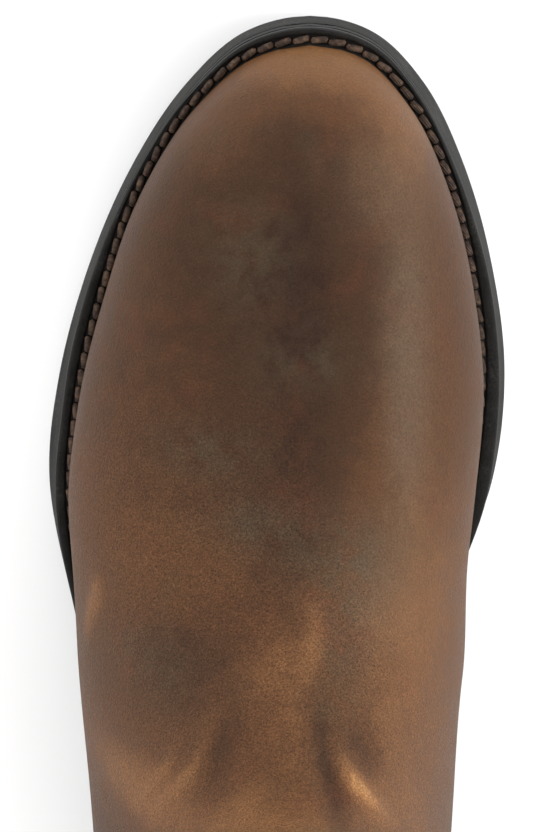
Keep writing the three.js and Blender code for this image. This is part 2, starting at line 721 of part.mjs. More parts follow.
// The binding folds over the rim.
function bindingGeometry() {
  const ring = [...both(wallShares, -1), ...wallShares.slice(1, -1)];
  const profile = [
    [-1.4, -8], [-1.4, 1.5], [4.4, 1.5], [4.4, -8],
    [3.4, -8], [3.4, 0.3], [-0.3, 0.3], [-0.3, -8],
  ];
  const sections = ring.map((u) => {
    const at = surfacePoint(topCut, u);
    const normal = surfaceNormal(topCut, u);
    if (Math.abs(u) === 1) normal.setX(0).normalize();
    const up = at.clone().sub(surfacePoint(topCut - 8, u)).normalize();
    return profile.map(([depth, rise]) =>
      at.clone().addScaledVector(normal, -depth).addScaledVector(up, rise).toArray(),
    );
  });
  return sweepGeometry(sections, true);
}

// A pull strap runs up the outside of the shaft, makes a loop above the rim and comes down inside.
const strapHalf = 12;
const strapThickness = 1.6;
const strapStart = 1.7; // clear of the binding
const strapBend = 5; // the free part of the strap under the loop, where it bends
const loopLegs = 10;
const insideStart = 5; // clear of the binding's inner leg
const tailCuts = cutsBetween(strapFoot, topCut);
const tailOut = (side) =>
  wallGeometry(tailCuts, stripRun(side, strapHalf), -strapStart - strapThickness, -strapStart);
const tailIn = (side) =>
  wallGeometry(tailCuts, stripRun(side, strapHalf), insideStart, insideStart + strapThickness);

function loopGeometry(side) {
  const rim = surfacePoint(topCut, side * uAtPlace(topCut, seamPlace, side));
  const legs = (insideStart + strapStart + strapThickness) / 2;
  const middle = strapStart + strapThickness / 2 - legs;
  const shape = new THREE.Shape();
  const foot = 1.5 + strapBend;
  const [outer, inner] = [legs + strapThickness / 2, legs - strapThickness / 2];
  shape.moveTo(outer, foot);
  shape.lineTo(outer, foot + loopLegs);
  shape.absarc(0, foot + loopLegs, outer, 0, Math.PI, false);
  shape.lineTo(-outer, foot);
  shape.lineTo(-inner, foot);
  shape.lineTo(-inner, foot + loopLegs);
  shape.absarc(0, foot + loopLegs, inner, Math.PI, 0, true);
  shape.lineTo(inner, foot);
  shape.closePath();
  const loop = new THREE.ExtrudeGeometry(shape, {
    depth: 2 * strapHalf,
    bevelEnabled: false,
    curveSegments: 12,
  });
  loop.translate(0, 0, -strapHalf);
  loop.rotateX(Math.PI / 2);
  return loop.translate(rim.x + side * middle, seamPlace - soleLength / 2, rim.z);
}

// ---- the boot ----
const finishes = {
  hide: { color: 0x6b4a34, roughness: 0.62, metalness: 0 },
  piping: { color: 0x4a3325, roughness: 0.6, metalness: 0 },
  lining: { color: 0xb08d62, roughness: 0.85, metalness: 0 },
  mesh: { color: 0x4c4a47, roughness: 0.95, metalness: 0 },
  steel: { color: 0xa9acb0, roughness: 0.35, metalness: 1 },
  rubber: { color: 0x26262a, roughness: 0.7, metalness: 0 },
  welt: { color: 0x17161a, roughness: 0.55, metalness: 0 },
  thread: { color: 0x5d4637, roughness: 0.8, metalness: 0 },
  board: { color: 0xb99768, roughness: 0.9, metalness: 0 },
  cork: { color: 0x9a6b42, roughness: 0.95, metalness: 0 },
  foam: { color: 0x35383c, roughness: 0.95, metalness: 0 },
  counter: { color: 0xcfc4ae, roughness: 0.7, metalness: 0 },
};

const group = new THREE.Group();
function add(name, geometry, finish) {
  const mesh = new THREE.Mesh(geometry, new THREE.MeshStandardMaterial(finishes[finish]));
  mesh.name = name;
  group.add(mesh);
}

add("outsole", outsole, "rubber");
add("heel_block", heelBlock, "rubber");
add("heel_top_lift", topLift, "rubber");
nails.forEach((nail, i) => add(`heel_nail_${i + 1}`, nail, "steel"));
add("midsole", midsole, "rubber");
add("welt", welt, "welt");
add("welt_stitching", weltStitching, "thread");
add("insole_rib", rib, "lining");
add("insole_board", board, "board");
add("cork_filler", filler, "cork");
add("steel_shank", shank, "steel");
rivets.forEach((rivet, i) => add(`shank_rivet_${i + 1}`, rivet, "steel"));
add("footbed_foam", foam, "foam");
add("footbed_cover", bedCover, "mesh");
add("steel_toe_cap", cap, "steel");
add("toe_cap_edge_trim", trim, "rubber");
add("front_upper", upperFront, "hide");
add("back_upper", upperBack, "hide");
add("counter_cover", cover, "hide");
add("heel_counter", counter, "counter");
add("vamp_lining", vampLining, "mesh");
add("heel_pocket_lining", pocketLining, "lining");
add("shaft_lining_front", shaftLining, "lining");
add("shaft_lining_back", backLining, "lining");
add("side_piping_outer", piping(1), "piping");
add("side_piping_inner", piping(-1), "piping");
add("top_binding", bindingGeometry(), "piping");
add("strap_tail_outer_outside", tailOut(1), "hide");
add("strap_tail_outer_inside", tailIn(1), "hide");
add("pull_loop_outer", loopGeometry(1), "hide");
add("strap_tail_inner_outside", tailOut(-1), "hide");
add("strap_tail_inner_inside", tailIn(-1), "hide");
add("pull_loop_inner", loopGeometry(-1), "hide");

export default group;
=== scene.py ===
import math
import bmesh
import bpy
import numpy as np
from mathutils import Matrix, Vector


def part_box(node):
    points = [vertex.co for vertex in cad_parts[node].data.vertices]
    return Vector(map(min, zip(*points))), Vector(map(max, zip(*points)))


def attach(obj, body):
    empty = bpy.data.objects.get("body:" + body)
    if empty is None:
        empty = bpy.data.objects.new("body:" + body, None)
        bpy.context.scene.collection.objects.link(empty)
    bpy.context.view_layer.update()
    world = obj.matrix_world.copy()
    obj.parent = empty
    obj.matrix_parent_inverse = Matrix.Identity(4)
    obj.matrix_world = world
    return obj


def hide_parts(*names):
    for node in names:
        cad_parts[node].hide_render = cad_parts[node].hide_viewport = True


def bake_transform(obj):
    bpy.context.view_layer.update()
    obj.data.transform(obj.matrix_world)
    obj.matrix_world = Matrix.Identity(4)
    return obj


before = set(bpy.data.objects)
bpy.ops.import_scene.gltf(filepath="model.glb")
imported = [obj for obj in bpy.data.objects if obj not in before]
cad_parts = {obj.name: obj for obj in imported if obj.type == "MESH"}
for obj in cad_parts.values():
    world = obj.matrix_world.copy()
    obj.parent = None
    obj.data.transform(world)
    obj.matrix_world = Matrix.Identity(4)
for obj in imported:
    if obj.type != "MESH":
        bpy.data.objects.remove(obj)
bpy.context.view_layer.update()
print("frame loaded")

# Lengths in the dictionaries are millimetres. s is the way along the boot from the toe's tip.
soleLow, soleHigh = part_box("outsole")
soleLength = 306
mm = (soleHigh.y - soleLow.y) / soleLength
toeY = soleLow.y


def place(points):  # boot millimetres to the frame's metres
    return np.asarray(points, float) * mm + (0, toeY, 0)


def through(points):  # a smooth function through (place, value) points
    at = np.array([p[0] for p in points], float)
    value = np.array([p[1] for p in points], float)
    before = np.maximum(np.arange(len(at)) - 1, 0)
    after = np.minimum(np.arange(len(at)) + 1, len(at) - 1)
    slope = (value[after] - value[before]) / (at[after] - at[before])

    def curve(x):
        x = np.clip(np.asarray(x, float), at[0], at[-1])
        i = np.clip(np.searchsorted(at, x, side="left") - 1, 0, len(at) - 2)
        span = at[i + 1] - at[i]
        t = (x - at[i]) / span
        rest = 1 - t
        return (
            (1 + 2 * t) * rest * rest * value[i]
            + t * rest * rest * span * slope[i]
            + t * t * (3 - 2 * t) * value[i + 1]
            - t * t * rest * span * slope[i + 1]
        )

    return curve


def ease(start, end, x):
    t = np.clip((np.asarray(x, float) - start) / (end - start), 0, 1)
    return t * t * (3 - 2 * t)


# The boot's lines
lines = {
    "soleEdge": [
        (-8, 0), (-23.5, 4.3), (-36, 17.8), (-45.6, 38), (-53, 63.4), (-57, 93),
        (-54.2, 122), (-43.5, 152), (-34, 186), (-34.5, 222), (-38.5, 262), (-30, 294),
        (1, 306), (32, 294), (40.5, 262), (39.5, 222), (43, 186), (51, 156),
        (57.3, 122), (54.5, 94), (46, 63.5), (34.9, 38), (21.9, 17.6), (8, 4.3),
    ],
    "feather": [
        (0, 28.5), (20, 24.5), (45, 19.8), (75, 17), (105, 16.5), (135, 18.3),
        (165, 23), (195, 29), (225, 33.8), (260, 36.2), (306, 37.5),
    ],
    "tread": [
        (0, 13.5), (12, 9.4), (30, 4.4), (50, 1.3), (70, 0), (128, 0),
        (150, 2.6), (185, 13), (228, 21), (260, 24), (306, 25.3),
    ],
    "featherOuter": [
        (0, 4.6), (20, 3.6), (43, 4.1), (63, 5.6), (84, 6.4), (105, 7.1), (125, 7.1),
        (150, 6), (185, 4.5), (230, 4), (306, 5),
    ],
    "featherInner": [
        (0, 4.6), (20, 4.8), (43, 5.4), (63, 6.3), (84, 7.2), (105, 8.1), (125, 7.8),
        (150, 6), (185, 4.5), (230, 4), (306, 5),
    ],
    "weltOuter": [
        (0, 0.35), (20, 0.6), (44, 0.5), (65, 0.7), (86, 1.4), (106, 2.2), (140, 1.6), (306, 1.6),
    ],
    "weltInner": [
        (0, 0.35), (20, 1.3), (44, 1.3), (65, 1.1), (86, 1.6), (106, 1.9), (140, 1.6), (306, 1.6),
    ],
    "seam": 226,
}
featherHeight = through(lines["feather"])
treadCurve = through(lines["tread"])


def sided(outerPoints, innerPoints):  # an inset that differs between the outer and the inner side
    outer, inner = through(outerPoints), through(innerPoints)
    return lambda s, x: inner(s) + (outer(s) - inner(s)) * ease(-12, 12, x)


featherInset = sided(lines["featherOuter"], lines["featherInner"])
weltInset = sided(lines["weltOuter"], lines["weltInner"])


def treadHeight(s):
    return np.maximum(0, treadCurve(s))


def closedCurve(points, count):  # a round closed curve through points, with its inward normals
    ends = np.array(points, float)
    total = len(ends)
    t = np.arange(count) / count * total
    i = np.floor(t).astype(int)
    w = (t - i)[:, None]
    p = [ends[(i + k) % total] for k in (-1, 0, 1, 2)]
    gaps = [np.sqrt(np.linalg.norm(p[k + 1] - p[k], axis=1))[:, None] for k in range(3)]
    m1 = (p[1] - p[0]) / gaps[0] - (p[2] - p[0]) / (gaps[0] + gaps[1]) + (p[2] - p[1]) / gaps[1]
    m2 = (p[2] - p[1]) / gaps[1] - (p[3] - p[1]) / (gaps[1] + gaps[2]) + (p[3] - p[2]) / gaps[2]
    m1, m2 = m1 * gaps[1], m2 * gaps[1]
    c2 = -3 * p[1] + 3 * p[2] - 2 * m1 - m2
    c3 = 2 * p[1] - 2 * p[2] + m1 + m2
    at = p[1] + m1 * w + c2 * w**2 + c3 * w**3
    along = m1 + 2 * c2 * w + 3 * c3 * w**2
    along /= np.linalg.norm(along, axis=1)[:, None]
    inward = np.stack([-along[:, 1], along[:, 0]], axis=1)
    middle = np.stack([at[:, 0] * 0, at[:, 1] * 0 + soleLength / 2], axis=1)
    lean = (middle - at) * np.array([1, 0.2])
    inward *= np.where(np.sum(inward * lean, axis=1) < 0, -1, 1)[:, None]
    return at, inward


outlineAt, outlineIn = closedCurve(lines["soleEdge"], 720)


def insetLoop(inset):  # the sole's edge moved inwards; inset is a number or goes along the boot
    d = inset(outlineAt[:, 1], outlineAt[:, 0]) if callable(inset) else inset
    return outlineAt + outlineIn * np.reshape(d, (-1, 1))


class Sides:  # the two x values where an outline passes a place along the boot
    def __init__(self, loop):
        tip, end = int(np.argmin(loop[:, 1])), int(np.argmax(loop[:, 1]))
        turned = np.roll(loop, -tip, axis=0)
        cut = (end - tip) % len(loop)
        self.innerSide = turned[: cut + 1]
        self.outerSide = np.vstack([turned[cut:], turned[:1]])[::-1]
        self.tip, self.end = loop[tip, 1], loop[end, 1]

    def inner(self, s):
        return np.interp(s, self.innerSide[:, 1], self.innerSide[:, 0])

    def outer(self, s):
        return np.interp(s, self.outerSide[:, 1], self.outerSide[:, 0])


featherSides = Sides(insetLoop(featherInset))
toeTip, heelEnd = featherSides.tip, featherSides.end

# The upper's surface: a fan of cuts, as in the frame's solids
heelCut, topCut = 254, 470
cutHead = ("q", "frontS", "frontZ", "backS", "backZ", "outer", "inner", "belly", "power", "ridge")
cutRows = [
    (0, 0, 61.5, 0, 0, 46, 46, 0.3, 2.35, -8),
    (30, 30, 67.5, 30, 0, 46, 46, 0.28, 2.35, -7.4),
    (60, 60, 73, 60, 0, 49, 46, 0.26, 2.3, -6.2),
    (85, 85, 79, 85, 0, 52, 48, 0.25, 2.2, -5.2),
    (108, 107, 87.5, 110, 0, 54, 48, 0.25, 2.1, -4.2),
    (130, 126, 99, 137, 0, 53.5, 46, 0.26, 2, -3.2),
    (152, 142, 113.5, 168, 0, 50.5, 43, 0.27, 1.95, -2.2),
    (174, 152.5, 128, 200, 0, 47, 41.7, 0.28, 1.95, -1.4),
    (196, 158, 140.5, 232, 0, 44.5, 40.9, 0.3, 1.95, -0.8),
    (218, 160.5, 150.5, 262, 0, 42.5, 40.5, 0.32, 2, -0.4),
    (238, 161.8, 159, 286, 0, 41.5, 40.4, 0.34, 2, 0),
    (heelCut, 162.2, 166, heelEnd, 37.4, 41, 40.7, 0.36, 2, 0),
    (268, 162.2, 172.5, 302.4, 50, 41, 41, 0.38, 2, 0),
    (284, 161.9, 180, 302.6, 66, 41, 41, 0.4, 2, 0),
    (304, 161.2, 189.5, 300, 88, 41.5, 41.5, 0.42, 2, 0),
    (328, 160.2, 201, 296, 114, 42.5, 42.3, 0.44, 2.02, 0),
    (354, 158.8, 214, 293.5, 142, 43.5, 43.5, 0.46, 2.05, 0),
    (382, 157, 229.5, 293.8, 173, 45, 44.7, 0.47, 2.08, 0),
    (412, 155, 246, 296, 207, 46.5, 46.5, 0.48, 2.1, 0),
    (442, 153, 259, 298.7, 239, 48, 48, 0.5, 2.1, 0),
    (topCut, 151.5, 268, 300, 268, 49, 49, 0.5, 2.1, 0),
]
cutCurve = {
    name: through([(row[0], row[k]) for row in cutRows]) for k, name in enumerate(cutHead) if k
}
backRise = through([(row[0], row[4]) for row in cutRows if row[0] >= heelCut])
lowerPower = through([(0, 2), (150, 2), (215, 2.6), (265, 2.6), (330, 2.1), (topCut, 2.1)])
toe = {"blunt": 27, "squareness": 2.1, "swell": 1.1}
rimRise = 8


def upperPoint(q, u):
    q, u = np.broadcast_arrays(np.asarray(q, float), np.asarray(u, float))
    foot = q < heelCut
    backS = np.where(q <= heelCut, np.minimum(cutCurve["backS"](q), heelEnd), cutCurve["backS"](q))
    backZ = np.where(q <= heelCut, featherHeight(backS), backRise(q))
    wall = np.clip((q - toeTip) / toe["blunt"], 0, 1)
    blunt = (1 - (1 - wall) ** toe["squareness"]) ** (1 / toe["squareness"])
    frontZ = backZ + (cutCurve["frontZ"](q) - backZ) * blunt
    frontS = cutCurve["frontS"](q)
    ridge = cutCurve["ridge"](q)
    swell = toe["swell"] * ease(toeTip, toeTip + 20, q)
    settled = ease(105, 150, q)
    right = u >= 0
    flatOuter = np.maximum(0, featherSides.outer(backS) - ridge)
    flatInner = np.maximum(0, ridge - featherSides.inner(backS))
    flat = np.where(foot, np.where(right, flatOuter, flatInner), 0)
    full = np.where(right, cutCurve["outer"](q), cutCurve["inner"](q))
    close = flat + swell * np.minimum(1, flat / 20)
    half = np.maximum(close + (full - close) * settled, flat + 0.05)
    belly = cutCurve["belly"](q)
    power, lower = cutCurve["power"](q), lowerPower(q)
    ratio = np.minimum(0.9999, flat / half)
    reach = belly / (1 - ratio**lower) ** (1 / lower)
    way = np.abs(u)
    high = np.clip(1 - way / 0.5, 0, 1) * math.pi / 2
    last = np.arcsin(np.minimum(1, belly / reach) ** (lower / 2))
    low = np.clip((way - 0.5) / 0.5, 0, 1) * last
    upAlong = belly + (1 - belly) * np.sin(high) ** (2 / power)
    upWide = np.clip(np.cos(high), 0, 1) ** (2 / power)
    downAlong = belly - reach * np.sin(low) ** (2 / lower)
    downWide = np.clip(np.cos(low), 0, 1) ** (2 / lower)
    along = np.where(way <= 0.5, upAlong, downAlong)
    wide = np.where(way <= 0.5, upWide, downWide) * half
    open_ = q > toeTip
    along, wide = np.where(open_, along, 0), np.where(open_, wide, 0)
    rim = rimRise * np.sin(math.pi * way) ** 2 * ease(400, topCut, q)
    x = ridge + np.sign(u) * wide
    s = backS + (frontS - backS) * along
    z = backZ + (frontZ - backZ) * along + rim
    return np.stack([x, s, z], axis=-1)


def upperNormal(q, u):
    q, u = np.broadcast_arrays(np.asarray(q, float), np.asarray(u, float))
    qa, qb = np.minimum(q + 0.5, topCut), np.maximum(q - 0.5, toeTip + 0.02)
    ua, ub = np.minimum(u + 0.01, 1), np.maximum(u - 0.01, -1)
    alongCuts = upperPoint(qa, u) - upperPoint(qb, u)
    round_ = upperPoint(q, ua) - upperPoint(q, ub)
    normal = np.cross(round_, alongCuts)
    size = np.linalg.norm(normal, axis=-1, keepdims=True)
    normal = normal / np.maximum(size, 1e-9)
    normal[q <= toeTip + 1e-6] = (0, -1, 0)
    behind = (np.abs(u) > 1 - 1e-6) & (q >= heelCut - 1e-6)
    normal[behind, 0] = 0  # the two halves meet there
    return normal / np.maximum(np.linalg.norm(normal, axis=-1, keepdims=True), 1e-9)


def shareAt(q, s, side):  # the u where a cut passes the place s, on one side
    q = np.asarray(q, float)
    s = np.broadcast_to(s, q.shape)
    low, high = np.zeros(q.shape), np.ones(q.shape)
    for _ in range(36):
        middle = (low + high) / 2
        short = upperPoint(q, side * middle)[..., 1] < s
        low, high = np.where(short, middle, low), np.where(short, high, middle)
    return side * np.where(cutCurve["backS"](q) <= s, 1, low)


def cutAtBack(s):  # the cut whose back point is at s
    q = np.linspace(toeTip, heelCut, 4000)
    return float(np.interp(s, cutCurve["backS"](q), q))


seamCut = cutAtBack(lines["seam"])
print("lines ready")

# Meshes, from points in boot millimetres
def addObject(name, data):
    obj = bpy.data.objects.new(name, data)
    bpy.context.scene.collection.objects.link(obj)
    return obj


def makeObject(name, points, faces, finish, attributes=None):
    mesh = bpy.data.meshes.new(name)
    mesh.from_pydata(place(points).tolist(), [], faces)
    for key, values in (attributes or {}).items():
        layer = mesh.attributes.new(key, "FLOAT", "POINT")
        layer.data.foreach_set("value", np.asarray(values, np.float32))
    mesh.materials.append(materials[finish])
    mesh.polygons.foreach_set("use_smooth", [True] * len(mesh.polygons))
    mesh.validate()
    return addObject(name, mesh)


def finishPiece(obj, replaces=(), sharp=40):
    if sharp:
        obj.data.set_sharp_from_angle(angle=math.radians(sharp))
    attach(obj, "boot")
    if replaces:
        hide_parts(*replaces)
    return obj


def weld(points, faces):  # merges points that coincide and drops faces that collapse
    _, first, index = np.unique(
        np.round(points, 3), axis=0, return_index=True, return_inverse=True
    )
    index = index.reshape(-1)
    kept = []
    for face in faces:
        loop = []
        for i in face:
            j = int(index[i])
            if not loop or loop[-1] != j:
                loop.append(j)
        if len(loop) > 1 and loop[0] == loop[-1]:
            loop.pop()
        if len(loop) > 2 and len(set(loop)) == len(loop):
            kept.append(loop)
    return first, kept


def gridFaces(rows, columns, start=0):
    r, c = np.meshgrid(np.arange(rows - 1), np.arange(columns - 1), indexing="ij")
    a = (start + r * columns + c).ravel()
    return np.stack([a, a + 1, a + columns + 1, a + columns], axis=1).tolist()


def signedVolume(points, faces):
    total = 0.0
    for face in faces:
        a = points[face[0]]
        for i in range(1, len(face) - 1):
            total += float(np.dot(a, np.cross(points[face[i]], points[face[i + 1]])))
    return total


def outward(points, faces):
    return faces if signedVolume(points, faces) > 0 else [face[::-1] for face in faces]


def shellObject(name, patches, outer, inner, finish, marks=None):
    q = np.concatenate([p[0].ravel() for p in patches])
    u = np.concatenate([p[1].ravel() for p in patches])
    faces, start = [], 0
    for patchQ, _ in patches:
        faces += gridFaces(*patchQ.shape, start)
        start += patchQ.size
    surface = upperPoint(q, u)
    first, faces = weld(surface, faces)
    q, u, surface = q[first], u[first], surface[first]
    normal = upperNormal(q, u)
    outerDepth = outer(q, u) if callable(outer) else np.full(q.shape, float(outer))
    innerDepth = inner(q, u) if callable(inner) else np.full(q.shape, float(inner))
    top = surface - normal * outerDepth[:, None]
    under = surface - normal * innerDepth[:, None]
    edges = {}
    for face in faces:
        for a, b in zip(face, face[1:] + face[:1]):
            edges[(a, b)] = edges.get((a, b), 0) + 1
    count = len(q)
    shell = list(faces) + [[i + count for i in face[::-1]] for face in faces]
    for a, b in edges:
        if (b, a) not in edges:
            shell.append([a, a + count, b + count, b])
    points = np.vstack([top, under])
    extra = {key: np.tile(fn(q, u, surface), 2) for key, fn in (marks or {}).items()}
    return makeObject(name, points, outward(points, shell), finish, extra)


def sweepObject(name, sections, closed, finish, replaces=(), sharp=40):
    # sections: rings x section points x 3
    rings, count = sections.shape[:2]
    points = sections.reshape(-1, 3)
    faces = []
    for r in range(rings if closed else rings - 1):
        n = (r + 1) % rings
        for k in range(count):
            m = (k + 1) % count
            faces.append([r * count + k, r * count + m, n * count + m, n * count + k])
    if not closed:
        faces.append(list(range(count))[::-1])
        faces.append([(rings - 1) * count + k for k in range(count)])
    first, faces = weld(points, faces)
    points = points[first]
    obj = makeObject(name, points, outward(points, faces), finish)
    return finishPiece(obj, replaces, sharp)


def levelObject(name, levels, finish, replaces=(), rows=150, columns=2, foot=None, cut=None,
                top=None, sharp=40):
    # A slab built from outlines at several heights: (sides, height) from the top down. The first
    # and last level are closed by surfaces that may carry a relief of their own.
    cut = cut or {}
    share = np.linspace(0, 1, rows)
    share = 0.35 * (1 - np.cos(math.pi * share)) / 2 + 0.65 * share
    inner, outer = [], []
    for k, (sides, height) in enumerate(levels):
        lean = cut.get("lean", 0) * k / (len(levels) - 1)
        s0 = max(sides.tip, cut.get("start", -1) + lean) if "start" in cut else sides.tip
        s1 = min(sides.end, cut["end"]) if "end" in cut else sides.end
        s = s0 + (s1 - s0) * share
        inner.append(np.stack([sides.inner(s), s, height(s)], axis=-1))
        outer.append(np.stack([sides.outer(s), s, height(s)], axis=-1))

    def sheet(a, b, relief):
        across = np.linspace(0, 1, columns)[None, :, None]
        grid = a[:, None, :] * (1 - across) + b[:, None, :] * across
        if relief:
            grid[..., 2] += relief(grid[..., 0], grid[..., 1])
        return grid

    topGrid = sheet(inner[0], outer[0], top)
    footGrid = sheet(inner[-1], outer[-1], foot)
    inner[0], outer[0] = topGrid[:, 0], topGrid[:, -1]
    if foot:
        for side in (inner, outer):
            for k in range(1, len(levels) - 1):
                side[k][:, 2] += np.where(k > len(levels) / 2, foot(side[k][:, 0], side[k][:, 1]), 0)
    inner[-1], outer[-1] = footGrid[:, 0], footGrid[:, -1]
    points = [topGrid.reshape(-1, 3), footGrid.reshape(-1, 3)]
    faces = gridFaces(rows, columns)
    start = rows * columns
    faces += [f[::-1] for f in gridFaces(rows, columns, start)]
    start *= 2
    for side, turn in ((inner, 1), (outer, -1)):
        wall = np.stack(side, axis=1)
        points.append(wall.reshape(-1, 3))
        found = gridFaces(rows, len(levels), start)
        faces += [f[::-1] for f in found] if turn > 0 else found
        start += wall.shape[0] * wall.shape[1]
    for row in (0, rows - 1):
        end = np.stack([np.stack([a[row], b[row]]) for a, b in zip(inner, outer)])
        points.append(end.reshape(-1, 3))
        found = gridFaces(len(levels), 2, start)
        faces += [f[::-1] for f in found] if row == 0 else found
        start += 2 * len(levels)
        if columns > 2:
            for grid, k in ((topGrid, 0), (footGrid, len(levels) - 1)):
                edge = np.vstack([grid[row], end[k]])
                points.append(edge)
                last = start + columns
                faces.append(list(range(start, last)) + [last + 1, last])
                start += columns + 2
    points = np.vstack(points)
    first, faces = weld(points, faces)
    obj = makeObject(name, points[first], faces, finish)
    recalculate(obj)
    return finishPiece(obj, replaces, sharp)


def recalculate(obj):
    made = bmesh.new()
    made.from_mesh(obj.data)
    bmesh.ops.remove_doubles(made, verts=made.verts, dist=1e-6)
    bmesh.ops.recalc_face_normals(made, faces=made.faces)
    made.to_mesh(obj.data)
    made.free()


# Node trees
def newGroup(name, inputs, outputs, kind="ShaderNodeTree"):  # the tree, what it is given, its result
    tree = bpy.data.node_groups.new(name, kind)
    for label, what, value in inputs:
        socket = tree.interface.new_socket(label, in_out="INPUT", socket_type="NodeSocket" + what)
        if value is not None:
            socket.default_value = value
    for label, what in outputs:
        tree.interface.new_socket(label, in_out="OUTPUT", socket_type="NodeSocket" + what)
    return tree, tree.nodes.new("NodeGroupInput").outputs, tree.nodes.new("NodeGroupOutput").inputs


def node(tree, kind, values=None, **settings):
    made = tree.nodes.new(kind)
    for key, value in settings.items():
        setattr(made, key, value)
    for key, value in (values or {}).items():
        made.inputs[key].default_value = value
    return made


def link(source, target):
    source.id_data.links.new(source, target)


def feed(target, value):  # links a socket, or sets it to a number or a colour
    if isinstance(value, bpy.types.NodeSocket):
        link(value, target)
    else:
        target.default_value = (*value, 1) if isinstance(value, tuple) else value


def after(source, kind, values=None, **settings):  # the first output of a node fed by source
    made = node(source.id_data, kind, values, **settings)
    link(source, made.inputs[0])
    return made.outputs[0]


def noise(vector, scale, detail, rough, warp=0):
    values = {"Detail": detail, "Roughness": rough, "Distortion": warp}
    made = after(vector, "ShaderNodeTexNoise", values)
    feed(made.node.inputs["Scale"], scale)
    return made


def steps(value, low, high):  # 0 below low, 1 above high
    return after(value, "ShaderNodeMapRange", {"From Min": low, "From Max": high},
                 interpolation_type="SMOOTHSTEP")


def maths(operation, a, b):
    made = after(a, "ShaderNodeMath", operation=operation)
    feed(made.node.inputs[1], b)
    return made


def times(a, b):
    return maths("MULTIPLY", a, b)


def plus(a, b):
    return maths("ADD", a, b)


def mixColour(factor, a, b, blendType="MIX"):
    tree = next(v.id_data for v in (factor, a, b) if isinstance(v, bpy.types.NodeSocket))
    made = node(tree, "ShaderNodeMix", data_type="RGBA", blend_type=blendType)
    for k, value in ((0, factor), (6, a), (7, b)):
        feed(made.inputs[k], value)
    return made.outputs[2]


def grey(value):
    made = node(value.id_data, "ShaderNodeCombineColor")
    for k in range(3):
        link(value, made.inputs[k])
    return made.outputs[0]


def tone(r, g, b):  # a display colour from 0 to 255, as linear light
    return tuple(((v / 255 + 0.055) / 1.055) ** 2.4 if v > 10 else v / 255 / 12.92 for v in (r, g, b))


def grainGroup():  # fine pores and a soft nap
    tree, given, result = newGroup(
        "grain",
        [("Vector", "Vector", None), ("Pore Scale", "Float", 900.0), ("Nap Scale", "Float", 260.0)],
        [("Height", "Float"), ("Speckle", "Float")],
    )
    pores = after(given["Vector"], "ShaderNodeTexVoronoi", feature="F1")
    link(given["Pore Scale"], pores.node.inputs["Scale"])
    nap = noise(given["Vector"], given["Nap Scale"], 6, 0.65)
    link(plus(times(pores, 0.5), nap), result["Height"])
    link(nap, result["Speckle"])
    return tree


def patchGroup():  # uneven cloudy areas of two sizes
    tree, given, result = newGroup(
        "patches", [("Vector", "Vector", None), ("Scale", "Float", 20.0), ("Seed", "Float", 0.0)],
        [("Cloud", "Float"), ("Spots", "Float")],
    )
    moved = after(given["Vector"], "ShaderNodeVectorMath", operation="ADD")
    link(given["Seed"], moved.node.inputs[1])
    link(noise(moved, given["Scale"], 3, 0.55, 0.4), result["Cloud"])
    link(noise(moved, times(given["Scale"], 4.3), 4, 0.6, 0.2), result["Spots"])
    return tree


def dustGroup():  # pale dust that gathers in patches
    tree, given, result = newGroup(
        "dust", [("Vector", "Vector", None), ("Amount", "Float", 0.3)], [("Mask", "Float")]
    )
    cloud = steps(noise(given["Vector"], 70.0, 5, 0.65), 0.42, 0.75)
    fine = steps(noise(given["Vector"], 1400.0, 2, 0.6), 0.35, 0.75)
    link(times(times(cloud, fine), given["Amount"]), result["Mask"])
    return tree


groups = {"grain": grainGroup(), "patches": patchGroup(), "dust": dustGroup()}


def useGroup(name, vector, values):  # a group's outputs
    made = vector.id_data.nodes.new("ShaderNodeGroup")
    made.node_tree = groups[name]
    link(vector, made.inputs["Vector"])
    for key, value in values.items():
        made.inputs[key].default_value = value
    return made.outputs


def startMaterial(name, specular=0.5, roughness=0.6, metallic=0.0):
    material = bpy.data.materials.new(name)
    material.use_nodes = True
    shader = material.node_tree.nodes["Principled BSDF"]
    shader.inputs["Roughness"].default_value = roughness
    shader.inputs["Metallic"].default_value = metallic
    shader.inputs["Specular IOR Level"].default_value = specular
    where = material.node_tree.nodes.new("ShaderNodeTexCoord").outputs["Object"]
    return material, shader, where


def bump(height, distance, strength=0.6, under=None):
    made = node(height.id_data, "ShaderNodeBump", {"Distance": distance, "Strength": strength})
    link(height, made.inputs["Height"])
    if under:
        link(under, made.inputs["Normal"])
    return made.outputs["Normal"]


def finishShader(shader, base, rough, normal):
    for key, source in (("Base Color", base), ("Roughness", rough), ("Normal", normal)):
        link(source, shader.inputs[key])


hide = {  # tones from the darkest to the palest part of the leather
    "tones": [
        (0.0, tone(40, 25, 17)), (0.25, tone(57, 38, 25)), (0.5, tone(78, 52, 33)),
        (0.75, tone(105, 72, 45)), (1.0, tone(138, 99, 62)),
    ],
    # of the three tones below, the last, a pale grey-brown, is the colour of a painted sheen
    "olive": tone(62, 53, 40), "rust": tone(92, 52, 34), "paintedSheen": tone(98, 85, 71),
    # the fold strength below sets the painted highlight on fold ridges and the painted shade in fold hollows
    "cool": 0.8, "cloud": 0.22, "spots": 0.22, "foldLightAndShade": 0.42, "rusty": 0.22,
    "poreScale": 1150.0, "napScale": 2300.0, "crackleScale": 2900.0,
    "wideScale": 15.0, "smallScale": 44.0,
    "nap": 2.6, "napMiddle": 0.65, "napLevel": 0.98,
}
markNames = ("toneShift", "cool", "paintedSheen", "foldLightAndShade", "nap")  # the attributes of a piece of hide: tone shift with some painted sheen, olive tint, painted sheen, painted fold highlight and shade, nap


